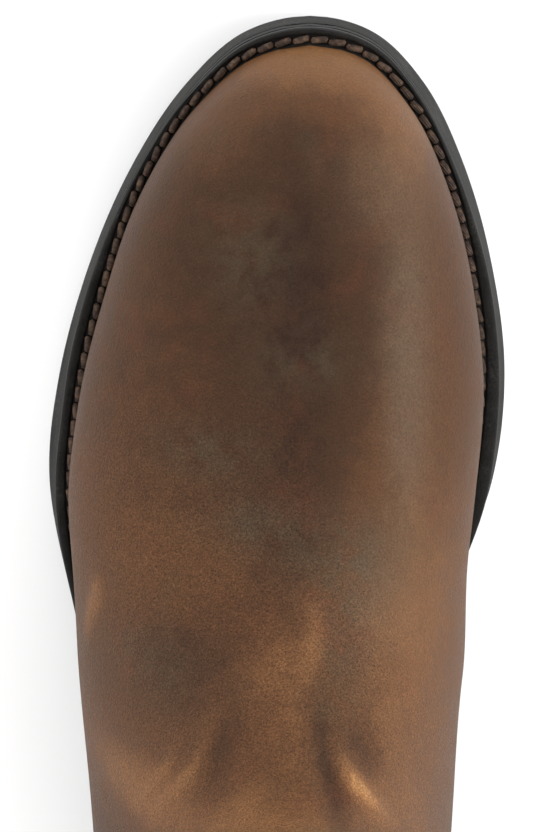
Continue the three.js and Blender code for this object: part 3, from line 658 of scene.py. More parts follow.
def toneRamp(value, stops):
    made = node(value.id_data, "ShaderNodeValToRGB")
    ramp = made.color_ramp
    ramp.interpolation = "EASE"
    while len(ramp.elements) < len(stops):
        ramp.elements.new(0.5)
    for element, (at, colour) in zip(ramp.elements, stops):
        element.position = at
        element.color = (*colour, 1)
    link(value, made.inputs["Fac"])
    return made.outputs["Color"]


def hideMaterial(name, shift=0.0):
    material, shader, where = startMaterial(name, 0.08)
    grain = useGroup("grain", where, {"Pore Scale": hide["poreScale"], "Nap Scale": hide["napScale"]})
    wide = useGroup("patches", where, {"Scale": hide["wideScale"], "Seed": 0.31})
    small = useGroup("patches", where, {"Scale": hide["smallScale"], "Seed": 1.7})
    mark = {
        key: node(shader.id_data, "ShaderNodeAttribute", attribute_name=key).outputs["Fac"]
        for key in markNames
    }
    cloud = times(plus(wide["Cloud"], -0.5), hide["cloud"])
    spots = times(plus(small["Spots"], -0.5), hide["spots"])
    # the tone shift: the leather's own pale and dark areas, partly painted sheen down the right side
    bright = plus(mark["toneShift"], plus(cloud, spots))
    # painted highlight on fold ridges and painted shade in fold hollows
    bright = plus(plus(bright, times(mark["foldLightAndShade"], hide["foldLightAndShade"])), shift)
    colour = toneRamp(bright, hide["tones"])
    cool = times(mark["cool"], steps(small["Spots"], 0.3, 0.6))
    cool = plus(cool, times(steps(small["Cloud"], 0.56, 0.76), 0.35))
    colour = mixColour(times(cool, hide["cool"]), colour, hide["olive"])
    # painted sheen: a pale grey-brown tone mixed in where a highlight falls down the right side
    colour = mixColour(times(mark["paintedSheen"], plus(small["Spots"], 0.5)), colour, hide["paintedSheen"])
    rust = times(steps(wide["Spots"], 0.5, 0.75), hide["rusty"])
    colour = mixColour(rust, colour, hide["rust"])
    crackle = after(where, "ShaderNodeTexVoronoi", {"Scale": hide["crackleScale"]}, feature="SMOOTH_F1")
    fleck = plus(plus(grain["Speckle"], times(crackle, 0.5)), -hide["napMiddle"])
    speckle = plus(times(fleck, times(mark["nap"], hide["nap"])), hide["napLevel"])
    colour = mixColour(1.0, colour, grey(speckle), "MULTIPLY")
    soft = bump(small["Spots"], 0.0012, 0.2)
    finishShader(shader, colour, plus(times(small["Spots"], 0.2), 0.4),
                 bump(grain["Height"], 0.0006, 0.7, soft))
    return material


def rubberMaterial(name, colour, toneShift, roughness, dustAmount):
    material, shader, where = startMaterial(name, 0.13)
    patch = useGroup("patches", where, {"Scale": 40.0, "Seed": 3.1})
    dust = useGroup("dust", where, {"Amount": dustAmount})
    base = mixColour(steps(patch["Spots"], 0.35, 0.7), colour, toneShift)
    base = mixColour(dust["Mask"], base, tone(150, 146, 138))
    fine = noise(where, 2200.0, 2, 0.6)
    base = mixColour(0.6, base, grey(steps(fine, 0.2, 0.62)), "MULTIPLY")
    finishShader(shader, base, plus(times(patch["Spots"], 0.2), roughness), bump(fine, 0.0002))
    return material


def threadMaterial(name, colour, pale):
    material, shader, where = startMaterial(name, 0.3)
    patch = useGroup("patches", where, {"Scale": 160.0, "Seed": 5.0})
    base = mixColour(steps(patch["Spots"], 0.4, 0.68), colour, pale)
    twist = after(where, "ShaderNodeTexWave", {"Scale": 900.0, "Distortion": 2.0, "Detail": 1.0},
                  wave_type="BANDS", bands_direction="DIAGONAL").node.outputs["Fac"]
    finishShader(shader, base, plus(times(patch["Cloud"], 0.2), 0.5), bump(twist, 0.00025))
    return material


def clothMaterial(name, colour, dark, pitch):
    material, shader, where = startMaterial(name, 0.2)
    patch = useGroup("patches", where, {"Scale": 30.0, "Seed": 8.0})
    threads = {"Scale": 1 / pitch, "Distortion": 0.6, "Detail": 1.0}
    heights = []
    for turn in (0, math.pi / 2):
        turned = after(where, "ShaderNodeMapping", {"Rotation": (0, 0, turn)})
        heights.append(after(turned, "ShaderNodeTexWave", threads).node.outputs["Fac"])
    weave = maths("MAXIMUM", *heights)
    base = mixColour(steps(weave, 0.2, 0.9), dark, colour)
    base = mixColour(times(patch["Cloud"], 0.35), base, dark)
    finishShader(shader, base, plus(times(patch["Spots"], 0.15), 0.78), bump(weave, 0.0003))
    return material


def liningMaterial(name, colour, dark):  # pigskin with its pores in small groups
    material, shader, where = startMaterial(name, 0.3)
    patch = useGroup("patches", where, {"Scale": 24.0, "Seed": 2.0})
    grain = useGroup("grain", where, {"Pore Scale": 520.0, "Nap Scale": 300.0})
    base = mixColour(steps(patch["Cloud"], 0.35, 0.7), colour, dark)
    base = mixColour(times(steps(grain["Height"], 0.5, 0.85), 0.35), base, dark)
    finishShader(shader, base, plus(times(patch["Spots"], 0.2), 0.6),
                 bump(grain["Height"], 0.0003, 0.5))
    return material


def steelMaterial(name, colour, stained, roughness):
    material, shader, where = startMaterial(name, metallic=1.0)
    patch = useGroup("patches", where, {"Scale": 55.0, "Seed": 4.0})
    stretched = after(where, "ShaderNodeMapping", {"Scale": (1, 0.06, 1)})
    brushed = noise(stretched, 2600.0, 2, 0.6)
    base = mixColour(steps(patch["Spots"], 0.4, 0.75), colour, stained)
    finishShader(shader, base, plus(times(brushed, 0.2), roughness), bump(brushed, 0.00008, 0.5))
    return material


def grainyMaterial(name, colour, other, scale, depth, roughness=0.8):  # cork, board, foam
    material, shader, where = startMaterial(name, 0.25)
    cells = after(where, "ShaderNodeTexVoronoi", {"Scale": scale}, feature="F1")
    patch = useGroup("patches", where, {"Scale": scale / 4, "Seed": 6.0})
    tint = after(cells.node.outputs["Color"], "ShaderNodeSeparateColor")
    base = mixColour(times(tint, 0.8), colour, other)
    finishShader(shader, base, plus(times(patch["Spots"], 0.15), roughness), bump(cells, depth))
    return material


materials = {
    "hide": hideMaterial("oiledHide"),
    "piping": hideMaterial("pipingHide", -0.22),
    "lining": liningMaterial("pigskin", tone(196, 160, 116), tone(150, 112, 74)),
    "textile": clothMaterial("spacerMesh", tone(84, 80, 76), tone(38, 36, 35), 0.0016),
    "steel": steelMaterial("brushedSteel", tone(178, 180, 184), tone(128, 124, 120), 0.28),
    "capSteel": steelMaterial("phosphatedSteel", tone(92, 96, 100), tone(60, 62, 66), 0.45),
    "rubber": rubberMaterial("soleRubber", tone(25, 24, 23), tone(42, 41, 39), 0.55, 0.16),
    "welt": rubberMaterial("weltRubber", tone(14, 13, 12), tone(26, 24, 22), 0.45, 0.08),
    "midsole": rubberMaterial("midsoleRubber", tone(14, 13, 13), tone(27, 26, 25), 0.5, 0.1),
    "thread": threadMaterial("waxedThread", tone(46, 32, 24), tone(88, 68, 52)),
    "seamThread": threadMaterial("upperThread", tone(104, 76, 52), tone(140, 108, 80)),
    "board": grainyMaterial("fibreBoard", tone(186, 154, 110), tone(150, 118, 80), 700.0, 0.0003),
    "cork": grainyMaterial("cork", tone(158, 112, 70), tone(98, 62, 38), 420.0, 0.0006),
    "foam": grainyMaterial("openFoam", tone(52, 55, 60), tone(34, 36, 40), 900.0, 0.0005),
    "counter": grainyMaterial("counterBoard", tone(208, 198, 178), tone(180, 168, 146), 800.0, 0.0002),
}
print("materials ready")


# The upper
upper = {
    "leather": 2.0, "gap": 0.3, "capDepth": 1.8, "counterDepth": 1.6, "liningDepth": 0.8,
    "rows": 300, "columns": 140,
}
folds = [  # soft folds over the instep: height, width and a path of (cut, share)
    (0.55, 2.8, [(120, -0.03), (130, -0.042), (139, -0.042), (150, -0.024)]),
    (0.45, 6.0, [(132, -0.01), (142, 0.03), (153, 0.075)]),
    (-1.1, 3.2, [(146, -0.052), (161, -0.068), (172, -0.085), (190, -0.103), (214, -0.116)]),
    (1.0, 3.0, [(159, -0.07), (173, -0.106), (181, -0.137), (187, -0.172), (194, -0.22)]),
    (-0.6, 5.0, [(156, -0.12), (167, -0.148), (174, -0.19)]),
    (0.5, 2.6, [(147, 0.105), (163, 0.128), (174, 0.15), (181, 0.19), (188, 0.24)]),
    (0.35, 2.4, [(160, 0.17), (170, 0.19), (178, 0.23), (184, 0.28)]),
    (-0.6, 5.5, [(156, 0.095), (174, 0.108), (196, 0.1)]),
    (0.6, 4.5, [(126, 0.31), (133, 0.35), (144, 0.4)]),
    (0.7, 5.0, [(230, 0.5), (244, 0.42), (258, 0.3), (262, 0.12)]),
    (0.7, 5.0, [(232, -0.5), (246, -0.4), (258, -0.26), (264, -0.1)]),
    (-0.7, 5.0, [(250, 0.52), (262, 0.4), (272, 0.22), (274, 0.0), (272, -0.22), (262, -0.4), (250, -0.52)]),
    (0.8, 5.5, [(262, 0.52), (276, 0.38), (286, 0.16), (287, -0.08), (280, -0.34), (266, -0.52)]),
]


knownFolds = {}


def foldRelief(q, u):  # the signed height of the folds, kept because each skin asks for it again
    key = (np.shape(q), float(np.sum(q)), float(np.sum(u)), float(np.sum(np.abs(u))))
    if key not in knownFolds:
        total = np.zeros(np.shape(q))
        near = (np.asarray(q) > 108) & (np.asarray(q) < 306)
        if near.any():
            total[near] = foldHeight(upperPoint(q[near], u[near]))
        knownFolds[key] = total
    return knownFolds[key]


def foldHeight(here):
    total = np.zeros(here.shape[:-1])
    for height, width, path in folds:
        t = np.linspace(0, 1, 24)
        at = np.linspace(0, 1, len(path))
        pq = through(list(zip(at, [p[0] for p in path])))(t)
        pu = through(list(zip(at, [p[1] for p in path])))(t)
        line = upperPoint(pq, pu)
        near = np.full(total.shape, 1e9)
        taper = np.zeros(total.shape)
        for k in range(len(line) - 1):
            a, b = line[k], line[k + 1]
            along = np.clip(((here - a) @ (b - a)) / ((b - a) @ (b - a)), 0, 1)
            away = np.linalg.norm(here - (a + along[..., None] * (b - a)), axis=-1)
            closer = away < near
            near = np.where(closer, away, near)
            taper = np.where(closer, (k + along) / (len(line) - 1), taper)
        fade = np.sin(math.pi * np.clip(taper, 0.02, 0.98)) ** 0.8
        total += height * fade * np.exp(-((near / width) ** 2))
    return total


def wave(q, u, surface):  # the uneven lie of the leather
    x, s, z = surface[..., 0], surface[..., 1], surface[..., 2]
    soft = ease(150, 230, q)
    a = np.sin(0.061 * s + 0.085 * z + 0.9) * np.sin(0.07 * x + 0.031 * z)
    b = np.sin(0.031 * z - 0.05 * s + 0.12 * x)
    return soft * (0.45 * a + 0.35 * b)


def relief(q, u):
    return foldRelief(q, u) * 0.9 + wave(q, u, upperPoint(q, u))


toneShift = {  # tone areas of the leather, each (strength, x, s, half width, half length): pale and cool areas, and a painted sheen; the pale areas on the right side, at x -31 to -34, are partly painted sheen
    "base": 0.36, "shaft": 0.14,
    "pale": [
        # the pale areas at x -31, -34 and -33 brighten the right side: partly paler leather, partly painted
        # sheen
        (-0.3, -6, 56, 14, 42), (-0.16, -5, 100, 9, 16), (0.56, -6, 2, 30, 11), (0.3, -31, 20, 13, 16),
        (0.08, -34, 70, 9, 45), (0.3, -33, 132, 20, 40), (0.16, 41, 124, 13, 26),
        (0.12, 24, 116, 13, 12), (-0.1, 22, 136, 18, 9), (0.16, -4, 143, 10, 10), (0.14, 15, 18, 12, 10),
        (0.2, -10, 172, 30, 20), (0.36, 32, 166, 14, 10), (0.24, 12, 158, 10, 8), (-0.1, 14, 60, 12, 30),
    ],
    "cool": [
        (0.8, 7, 46, 10, 13), (0.7, -8, 71, 13, 6), (0.8, 18, 92, 12, 6), (0.8, -17, 115, 12, 9),
        (0.6, 4, 108, 16, 6), (0.6, -14, 136, 6, 12), (0.5, 30, 140, 12, 8),
    ],
    # painted sheen: pale bands down the right side, at x -24 to -31, where a highlight falls
    "paintedSheen": [
        (0.44, -31, 62, 6, 26), (0.34, -31, 92, 5, 16), (0.24, -25, 30, 9, 12), (0.26, -24, 122, 10, 14),
    ],
}


def areaMark(kind, surface):
    x, s = surface[..., 0], surface[..., 1]
    total = np.zeros(x.shape)
    for strength, atX, atS, wide, long in toneShift[kind]:
        total += strength * np.exp(-(((x - atX) / wide) ** 2) - ((s - atS) / long) ** 2)
    return total


# the leather's tone: its own pale and dark areas, with painted sheen down the right side
def toneAndSheenMark(q, u, surface):
    shaft = toneShift["shaft"] * ease(170, 260, q)
    uneven = 0.7 + 0.3 * np.sin(0.05 * surface[..., 2] + 0.09 * surface[..., 0])
    return toneShift["base"] + areaMark("pale", surface) * (1 - ease(190, 260, q)) + shaft * uneven


marks = {
    # tone shift, partly painted sheen on the right side
    "toneShift": toneAndSheenMark,
    "cool": lambda q, u, surface: areaMark("cool", surface) * (1 - ease(180, 230, q)),
    # painted sheen down the right side
    "paintedSheen": lambda q, u, surface: areaMark("paintedSheen", surface) * (1 - ease(180, 230, q)),
    # painted highlight on fold ridges and painted shade in fold hollows, from the fold relief and the wave
    "foldLightAndShade": lambda q, u, surface: foldRelief(q, u) + 0.5 * wave(q, u, surface),
    "nap": lambda q, u, surface: 0.5 + 0.55 * ease(
        60, 108, surface[..., 1] + 1.8 * np.minimum(surface[..., 0], 0)),  # finer at the toe
}


def rowsOf(start, end, count):  # cuts, closer together round the toe
    q = np.linspace(0, 1, count)
    if start < 30:
        q = q * 0.75 + 0.25 * q**3
    return start + (end - start) * q


def frontPatch(start, end, move, rows=None, columns=None):
    q = rowsOf(start, end, rows or upper["rows"])
    q = np.sort(np.unique(np.append(q, seamCut))) if start < seamCut < end else q
    t = np.linspace(-1, 1, columns or upper["columns"] + 1)
    right = shareAt(q, lines["seam"] - move, 1)
    left = -shareAt(q, lines["seam"] - move, -1)
    u = np.where(t[None, :] >= 0, t[None, :] * right[:, None], t[None, :] * left[:, None])
    return [(np.broadcast_to(q[:, None], u.shape).copy(), u)]


def backPatches(start, end, move, rows=None, columns=110):
    q = rowsOf(start, end, rows or upper["rows"] // 2)
    q = np.sort(np.unique(np.append(q, heelCut))) if start < heelCut < end else q
    t = np.linspace(0, 1, columns)
    patches = []
    for side in (1, -1):
        share = np.abs(shareAt(q, lines["seam"] + move, side))
        u = side * (share[:, None] + (1 - share[:, None]) * t[None, :])
        u = u if side > 0 else u[:, ::-1]
        patches.append((np.broadcast_to(q[:, None], u.shape).copy(), u))
    return patches


def outsideDepth(q, u):
    return -relief(q, u)


def insideDepth(q, u):
    return upper["leather"] - relief(q, u) * 0.3


innerStart = upper["leather"] + upper["gap"]


def vampDepth(q, u):
    return innerStart + (upper["capDepth"] + upper["gap"]) * (1 - ease(65, 100, q))


def vampInside(q, u):
    return vampDepth(q, u) + upper["liningDepth"]


heelDepth = innerStart + upper["counterDepth"] + upper["gap"]
liningEnd = {"vamp": 246, "shaft": 246.6, "heel": 294, "back": 294.6}  # cuts where the linings meet
shells = [
    ("frontUpper", "front_upper", "hide", frontPatch(toeTip, topCut, 0.15),
     outsideDepth, insideDepth),
    ("backUpper", "back_upper", "hide", backPatches(seamCut, topCut, 0.15),
     outsideDepth, insideDepth),
    ("vampLining", "vamp_lining", "textile", frontPatch(toeTip, liningEnd["vamp"], 0.3, 120, 81),
     vampDepth, vampInside),
    ("shaftLiningFront", "shaft_lining_front", "lining",
     frontPatch(liningEnd["shaft"], topCut, 0.3, 100, 81), innerStart, innerStart + upper["liningDepth"]),
    ("shaftLiningBack", "shaft_lining_back", "lining",
     backPatches(liningEnd["back"], topCut, 0.3, 90, 40), innerStart, innerStart + upper["liningDepth"]),
    ("heelPocketLining", "heel_pocket_lining", "lining",
     backPatches(seamCut, liningEnd["heel"], 0.3, 100, 60), heelDepth, heelDepth + upper["liningDepth"]),
]
for name, cadNode, finish, patches, outer, inner in shells:
    found = marks if finish == "hide" else None
    finishPiece(shellObject(name, patches, outer, inner, finish, found), [cadNode], 60)
print("upper ready")

cover = {
    "thickness": 1.6, "forward": 9, "low": 1.2, "topHeight": 78, "topY": 0.120, "tilt": 0.12,
    "start": 205, "end": 300, "rows": 130, "columns": 90, "lowFrom": 235, "soften": 0.0005,
}


def cutFlat(obj, point, normal):  # cuts the mesh by a plane, drops what is in front and closes it
    made = bmesh.new()
    made.from_mesh(obj.data)
    parts = made.verts[:] + made.edges[:] + made.faces[:]
    found = bmesh.ops.bisect_plane(
        made, geom=parts, plane_co=point, plane_no=normal, clear_outer=True, dist=1e-7
    )
    edges = [e for e in found["geom_cut"] if isinstance(e, bmesh.types.BMEdge)]
    bmesh.ops.holes_fill(made, edges=edges, sides=0)
    bmesh.ops.recalc_face_normals(made, faces=made.faces)
    made.to_mesh(obj.data)
    made.free()


def softenEdges(obj, width, angle=50, segments=2):
    bevel = obj.modifiers.new("soften", "BEVEL")
    bevel.width = width
    bevel.segments = segments
    bevel.limit_method = "ANGLE"
    bevel.angle_limit = math.radians(angle)
    bevel.harden_normals = False


def coverOutside(q, u):
    return -upper["gap"] - cover["thickness"] - relief(q, u) * 0.5


coverPatches = backPatches(
    cover["start"], cover["end"], cover["forward"], cover["rows"], cover["columns"]
)
counterCover = shellObject("counterCover", coverPatches, coverOutside, -upper["gap"], "hide", marks)
cutFlat(counterCover, (0, cover["topY"], cover["topHeight"] * mm),
        (0, -math.sin(cover["tilt"]), math.cos(cover["tilt"])))
lowHeight = featherHeight(cover["lowFrom"])
lowSlope = math.atan((featherHeight(cover["end"]) - lowHeight) / (cover["end"] - cover["lowFrom"]))
cutFlat(counterCover, (0, toeY + cover["lowFrom"] * mm, (lowHeight + cover["low"]) * mm),
        (0, math.sin(lowSlope), -math.cos(lowSlope)))
softenEdges(counterCover, cover["soften"])
finishPiece(counterCover, ["counter_cover"], sharp=0)

piping = {"half": 1.7, "rise": 1.1, "arc": 10, "rows": 260, "start": 208, "endBelow": 12}


def pipingObject(name, cadNode, side):
    q = np.linspace(piping["start"], topCut - piping["endBelow"], piping["rows"])
    rings = []
    for a in np.linspace(0, math.pi, piping["arc"]):
        u = shareAt(q, lines["seam"] + piping["half"] * math.cos(a), side)
        lift = upper["gap"] - 0.2 + piping["rise"] * math.sin(a) ** 0.7 + relief(q, u) * 0.9
        rings.append(upperPoint(q, u) + upperNormal(q, u) * lift[:, None])
    sweepObject(name, np.stack(rings, axis=1), False, "piping", [cadNode], sharp=60)


pipingObject("sidePipingOuter", "side_piping_outer", 1)
pipingObject("sidePipingInner", "side_piping_inner", -1)

binding = {"out": 1.4, "in": 4.4, "top": 1.5, "low": 8.0, "thick": 1.0, "count": 300}


def rimFrame(count):  # points round the rim, with their outward and upward directions
    t = np.arange(count) / count * 2 - 1
    q = np.full(count, float(topCut))
    at, normal = upperPoint(q, t), upperNormal(q, t)
    up = at - upperPoint(q - 8, t)
    return at, normal, up / np.linalg.norm(up, axis=-1, keepdims=True), t


def bindingObject():
    at, normal, up, t = rimFrame(binding["count"])
    b = binding
    middle, half = (b["in"] - b["out"]) / 2, (b["in"] + b["out"]) / 2
    profile = [(-b["out"], -b["low"]), (-b["out"] - 0.1, -b["low"] / 2), (-b["out"], 0)]
    profile += [
        (middle - half * math.cos(a), 1.6 * math.sin(a)) for a in np.linspace(0.15, math.pi - 0.15, 9)
    ]
    profile += [(b["in"], 0), (b["in"] + 0.1, -b["low"] / 2), (b["in"], -b["low"])]
    profile += [(b["in"] - b["thick"], -b["low"]), (b["in"] - b["thick"], 0.3)]
    profile += [(-b["out"] + b["thick"], 0.3), (-b["out"] + b["thick"], -b["low"])]
    sections = np.stack([at - normal * depth + up * rise for depth, rise in profile], axis=1)
    ripple = 0.12 * np.sin(t * 61)[:, None, None] * normal[:, None, :]
    sweepObject("topBinding", sections + ripple, True, "piping", ["top_binding"], sharp=60)


bindingObject()

strap = {
    "half": 12.0, "thick": 1.6, "outside": 1.7, "inside": 5.0, "bend": 5.0, "legs": 10.0,
    "clear": 1.5, "tailStart": topCut - 44, "across": 27,
    "hug": 0.35, "overPiping": 1.35, "insideHug": 3.4,
}


def hugging(q):  # 1 where the strap is sewn flat, 0 where it stands clear of the binding
    return 1 - ease(topCut - 19, topCut - 9, q)


def strapLift(q, u, across):  # how far the strap's underside stands off the leather
    low = strap["hug"] + strap["overPiping"] * np.exp(-((across / 3.2) ** 2)) + relief(q, u)
    return strap["outside"] + (low - strap["outside"]) * hugging(q)


def strapLine(side):
    # the strap's middle line from the outside tail over the loop to the inside tail
    s = lines["seam"] + np.linspace(-strap["half"], strap["half"], strap["across"])
    centre = upperPoint(topCut, shareAt([topCut], lines["seam"], side))[0]
    half = strap["thick"] / 2
    out, into = [], []
    for q in np.linspace(strap["tailStart"], topCut - 3, 22):
        qq = np.full(s.shape, q)
        u = shareAt(qq, s, side)
        at, normal = upperPoint(qq, u), upperNormal(qq, u)
        lift = strapLift(qq, u, s - lines["seam"])
        depth = strap["inside"] + (strap["insideHug"] - strap["inside"]) * hugging(q)
        out.append(at + normal * (lift + half)[:, None])
        into.append(at - normal * (depth + half))
    legs = (strap["inside"] + strap["outside"] + strap["thick"]) / 2
    middle = centre[0] + side * (strap["outside"] + half - legs)
    foot = centre[2] + strap["clear"] + strap["bend"]
    top = foot + strap["legs"]
    loop = []
    for z in np.linspace(foot, top, 10):
        loop.append((middle + side * legs, z))
    for a in np.linspace(0.12, math.pi - 0.12, 18):
        loop.append((middle + side * legs * math.cos(a), top + legs * math.sin(a)))
    for z in np.linspace(top, foot, 10):
        loop.append((middle - side * legs, z))
    middleRows = [np.stack([np.full(s.shape, x), s, np.full(s.shape, z)], axis=-1) for x, z in loop]

    def bridge(a, b, count):
        # a smooth path from one line across the strap to the next
        t = np.linspace(0, 1, count + 2)[1:-1]
        t = t * t * (3 - 2 * t) * 0.4 + t * 0.6
        return [a * (1 - k) + b * k for k in t]

    rows = out + bridge(out[-1], middleRows[0], 8) + middleRows
    rows += bridge(middleRows[-1], into[-1], 8) + into[::-1]
    return np.stack(rows)


def strapObject(name, side, cadNodes):
    line = strapLine(side)
    along = np.gradient(line, axis=0)
    across = np.gradient(line, axis=1)
    normal = np.cross(along, across)
    normal /= np.linalg.norm(normal, axis=-1, keepdims=True)
    rows, columns = line.shape[:2]
    edge = np.linspace(-1, 1, columns)
    ends = np.minimum(np.arange(rows), np.arange(rows)[::-1])
    thin = (1 - np.abs(edge) ** 14 * 0.45)[None, :] * (1 - 0.45 * np.exp(-ends / 1.2))[:, None]
    half = strap["thick"] / 2 * thin[..., None]
    a, b = line + normal * half, line - normal * half
    points = np.vstack([a.reshape(-1, 3), b.reshape(-1, 3)])
    faces = gridFaces(rows, columns)
    count = rows * columns
    faces += [f[::-1] for f in gridFaces(rows, columns, count)]
    rim = list(range(columns)) + [r * columns + columns - 1 for r in range(1, rows)]
    rim += [(rows - 1) * columns + c for c in range(columns - 2, -1, -1)]
    rim += [r * columns for r in range(rows - 2, 0, -1)]
    for i, j in zip(rim, rim[1:] + rim[:1]):
        faces.append([i, i + count, j + count, j])
    pale = np.tile((0.3 + 0.35 * np.abs(edge[None, :]) ** 6 + 0 * ends[:, None]).ravel(), 2)
    plain = {key: pale * 0 for key in ("cool", "paintedSheen", "foldLightAndShade")}
    obj = makeObject(name, points, faces, "hide", {"toneShift": pale, **plain, "nap": pale * 0 + 1})
    recalculate(obj)
    obj.data.set_sharp_from_angle(angle=math.radians(50))
    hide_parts(*cadNodes)
    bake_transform(obj)


strapObject("pullStrapOuter", 1,
            ["strap_tail_outer_outside", "strap_tail_outer_inside", "pull_loop_outer"])
strapObject("pullStrapInner", -1,
            ["strap_tail_inner_outside", "strap_tail_inner_inside", "pull_loop_inner"])
print("straps ready")

# The sole
stack = {"weltTop": -0.3, "welt": 2.9, "midsole": 3.2, "gap": 0.3}
weltTop = stack["weltTop"]
weltFoot = weltTop - stack["welt"]
midsoleTop = weltFoot - stack["gap"]
midsoleFoot = midsoleTop - stack["midsole"]
outsoleTop = midsoleFoot - stack["gap"]


def above(rise):
    return lambda s: featherHeight(s) + rise


tread = {
    "first": 24, "pitch": 11.4, "count": 11, "width": 3.6, "depth": 3.0, "margin": 5.0,
    "sway": 1.6, "swayLength": 30,
}
treadSides = Sides(outlineAt)


def grooves(x, s):  # how far the sole's underside is cut away
    swayed = s + tread["sway"] * np.cos(2 * math.pi * x / tread["swayLength"])
    k = np.clip(np.round((swayed - tread["first"]) / tread["pitch"]), 0, tread["count"] - 1)
    away = np.abs(swayed - (tread["first"] + k * tread["pitch"]))
    cut = 1 - ease(tread["width"] / 2 - 0.5, tread["width"] / 2 + 0.5, away)
    edge = np.minimum(x - treadSides.inner(s), treadSides.outer(s) - x)
    return tread["depth"] * cut * ease(tread["margin"] - 0.6, tread["margin"] + 0.6, edge)


def soleSides(inset):
    return Sides(insetLoop(inset))


def between(share, extra=0):  # an outline part of the way from the welt's edge to the tread's edge
    return soleSides(lambda s, x: weltInset(s, x) * (1 - share) + extra)


def towardsTread(share, rise=0):
    top = above(outsoleTop)
    return lambda s: top(s) * (1 - share) + treadHeight(s) * share + rise


outsoleLevels = [
    (between(0, 0.6), above(outsoleTop)),
    (between(0, 0.1), above(outsoleTop - 0.25)),
    (between(0.03), above(outsoleTop - 0.9)),
    (between(0.35), towardsTread(0.35)),
    (between(0.75), towardsTread(0.7)),
    (between(1), towardsTread(1, 1.6)),
    (between(1, 0.15), towardsTread(1, 0.7)),
    (between(1, 0.6), towardsTread(1, 0.15)),
    (between(1, 1.3), treadHeight),
]
levelObject("treadSole", outsoleLevels, "rubber", ["outsole"], rows=620, columns=44, foot=grooves,
            sharp=35)


def fromWelt(d):
    return lambda s, x: weltInset(s, x) + d


def fromFeather(d):
    return lambda s, x: featherInset(s, x) + d


midsoleLevels = [
    (soleSides(fromWelt(0.5)), above(midsoleTop)),
    (soleSides(fromWelt(0.05)), above(midsoleTop - 0.4)),
    (soleSides(weltInset), above((midsoleTop + midsoleFoot) / 2)),
    (soleSides(fromWelt(0.05)), above(midsoleFoot + 0.4)),
    (soleSides(fromWelt(0.5)), above(midsoleFoot)),
]
levelObject("midsoleLayer", midsoleLevels, "midsole", ["midsole"], rows=260)

heel = {
    "start": 228, "lean": 3.0, "top": 0.6, "foot": 2.2, "lift": 6.5, "gap": 0.3, "liftStart": 3.2,
    "grooveFirst": 238, "groovePitch": 15, "grooveHalf": 1.2, "grooveDepth": 2.0,
}
heelLevels = []
for share in (0, 0.06, 0.5, 0.95, 1):
    edge = 0.5 if share in (0, 1) else 0.05
    sides = soleSides(heel["top"] + (heel["foot"] - heel["top"]) * share + edge)
    heelLevels.append((sides, lambda s, share=share: (treadHeight(s) - heel["gap"]) * (1 - share)
                       + (heel["lift"] + heel["gap"]) * share))
levelObject("heelBlock", heelLevels, "rubber", ["heel_block"], rows=120,
            cut={"start": heel["start"], "lean": heel["lean"]})


def heelGrooves(x, s):
    half = heel["groovePitch"] / 2
    away = np.abs(((s - heel["grooveFirst"] + 0.02 * x * x / 4) % heel["groovePitch"]) - half)
    rim = ease(26, 30, np.abs(x - 1)) + ease(290, 295, s) + (1 - ease(236, 240, s))
    groove = 1 - ease(heel["grooveHalf"], heel["grooveHalf"] + 0.7, away)
    return heel["grooveDepth"] * groove * np.clip(1 - rim, 0, 1)


liftLevels = [
    (soleSides(edge), lambda s, z=z: np.full(np.shape(s), float(z)))
    for edge, z in ((2.6, heel["lift"]), (2.15, heel["lift"] - 0.4), (2.1, heel["lift"] / 2),
                    (2.2, 0.5), (2.6, 0))
]
levelObject("heelTopLift", liftLevels, "rubber", ["heel_top_lift"], rows=160, columns=60,
            foot=heelGrooves, cut={"start": heel["start"] + heel["liftStart"]}, sharp=35)


def edgeLine(inset, rise):  # a closed line at an inset from the sole's edge, over the feather line
    at = outlineAt + outlineIn * inset(outlineAt[:, 1], outlineAt[:, 0])[:, None]
    return np.stack([at[:, 0], at[:, 1], featherHeight(at[:, 1]) + rise], axis=-1)


welt = {"channelDepth": 0.7}
weltProfile = [
    (fromWelt(0.1), weltFoot + 0.3), (fromWelt(0), (weltTop + weltFoot) / 2),
    (fromWelt(0.1), weltTop - 0.6), (fromWelt(0.35), weltTop - 0.15), (fromWelt(0.8), weltTop),
    (fromWelt(0.35), weltTop - 0.15), (fromWelt(0.8), weltTop), (fromFeather(-3.1), weltTop),
    (fromFeather(-2.7), weltTop - 0.15), (fromFeather(-2.4), weltTop - welt["channelDepth"]),
    (fromFeather(-0.5), weltTop - welt["channelDepth"]), (fromFeather(-0.2), weltTop - 0.15),
    (fromFeather(0.1), weltTop), (fromFeather(5.2), weltTop), (fromFeather(5.2), weltFoot),
    (fromWelt(0.6), weltFoot),
]
weltSections = np.stack([edgeLine(inset, rise) for inset, rise in weltProfile], axis=1)
sweepObject("weltStrip", weltSections, True, "welt", ["welt"], sharp=50)
print("sole ready")


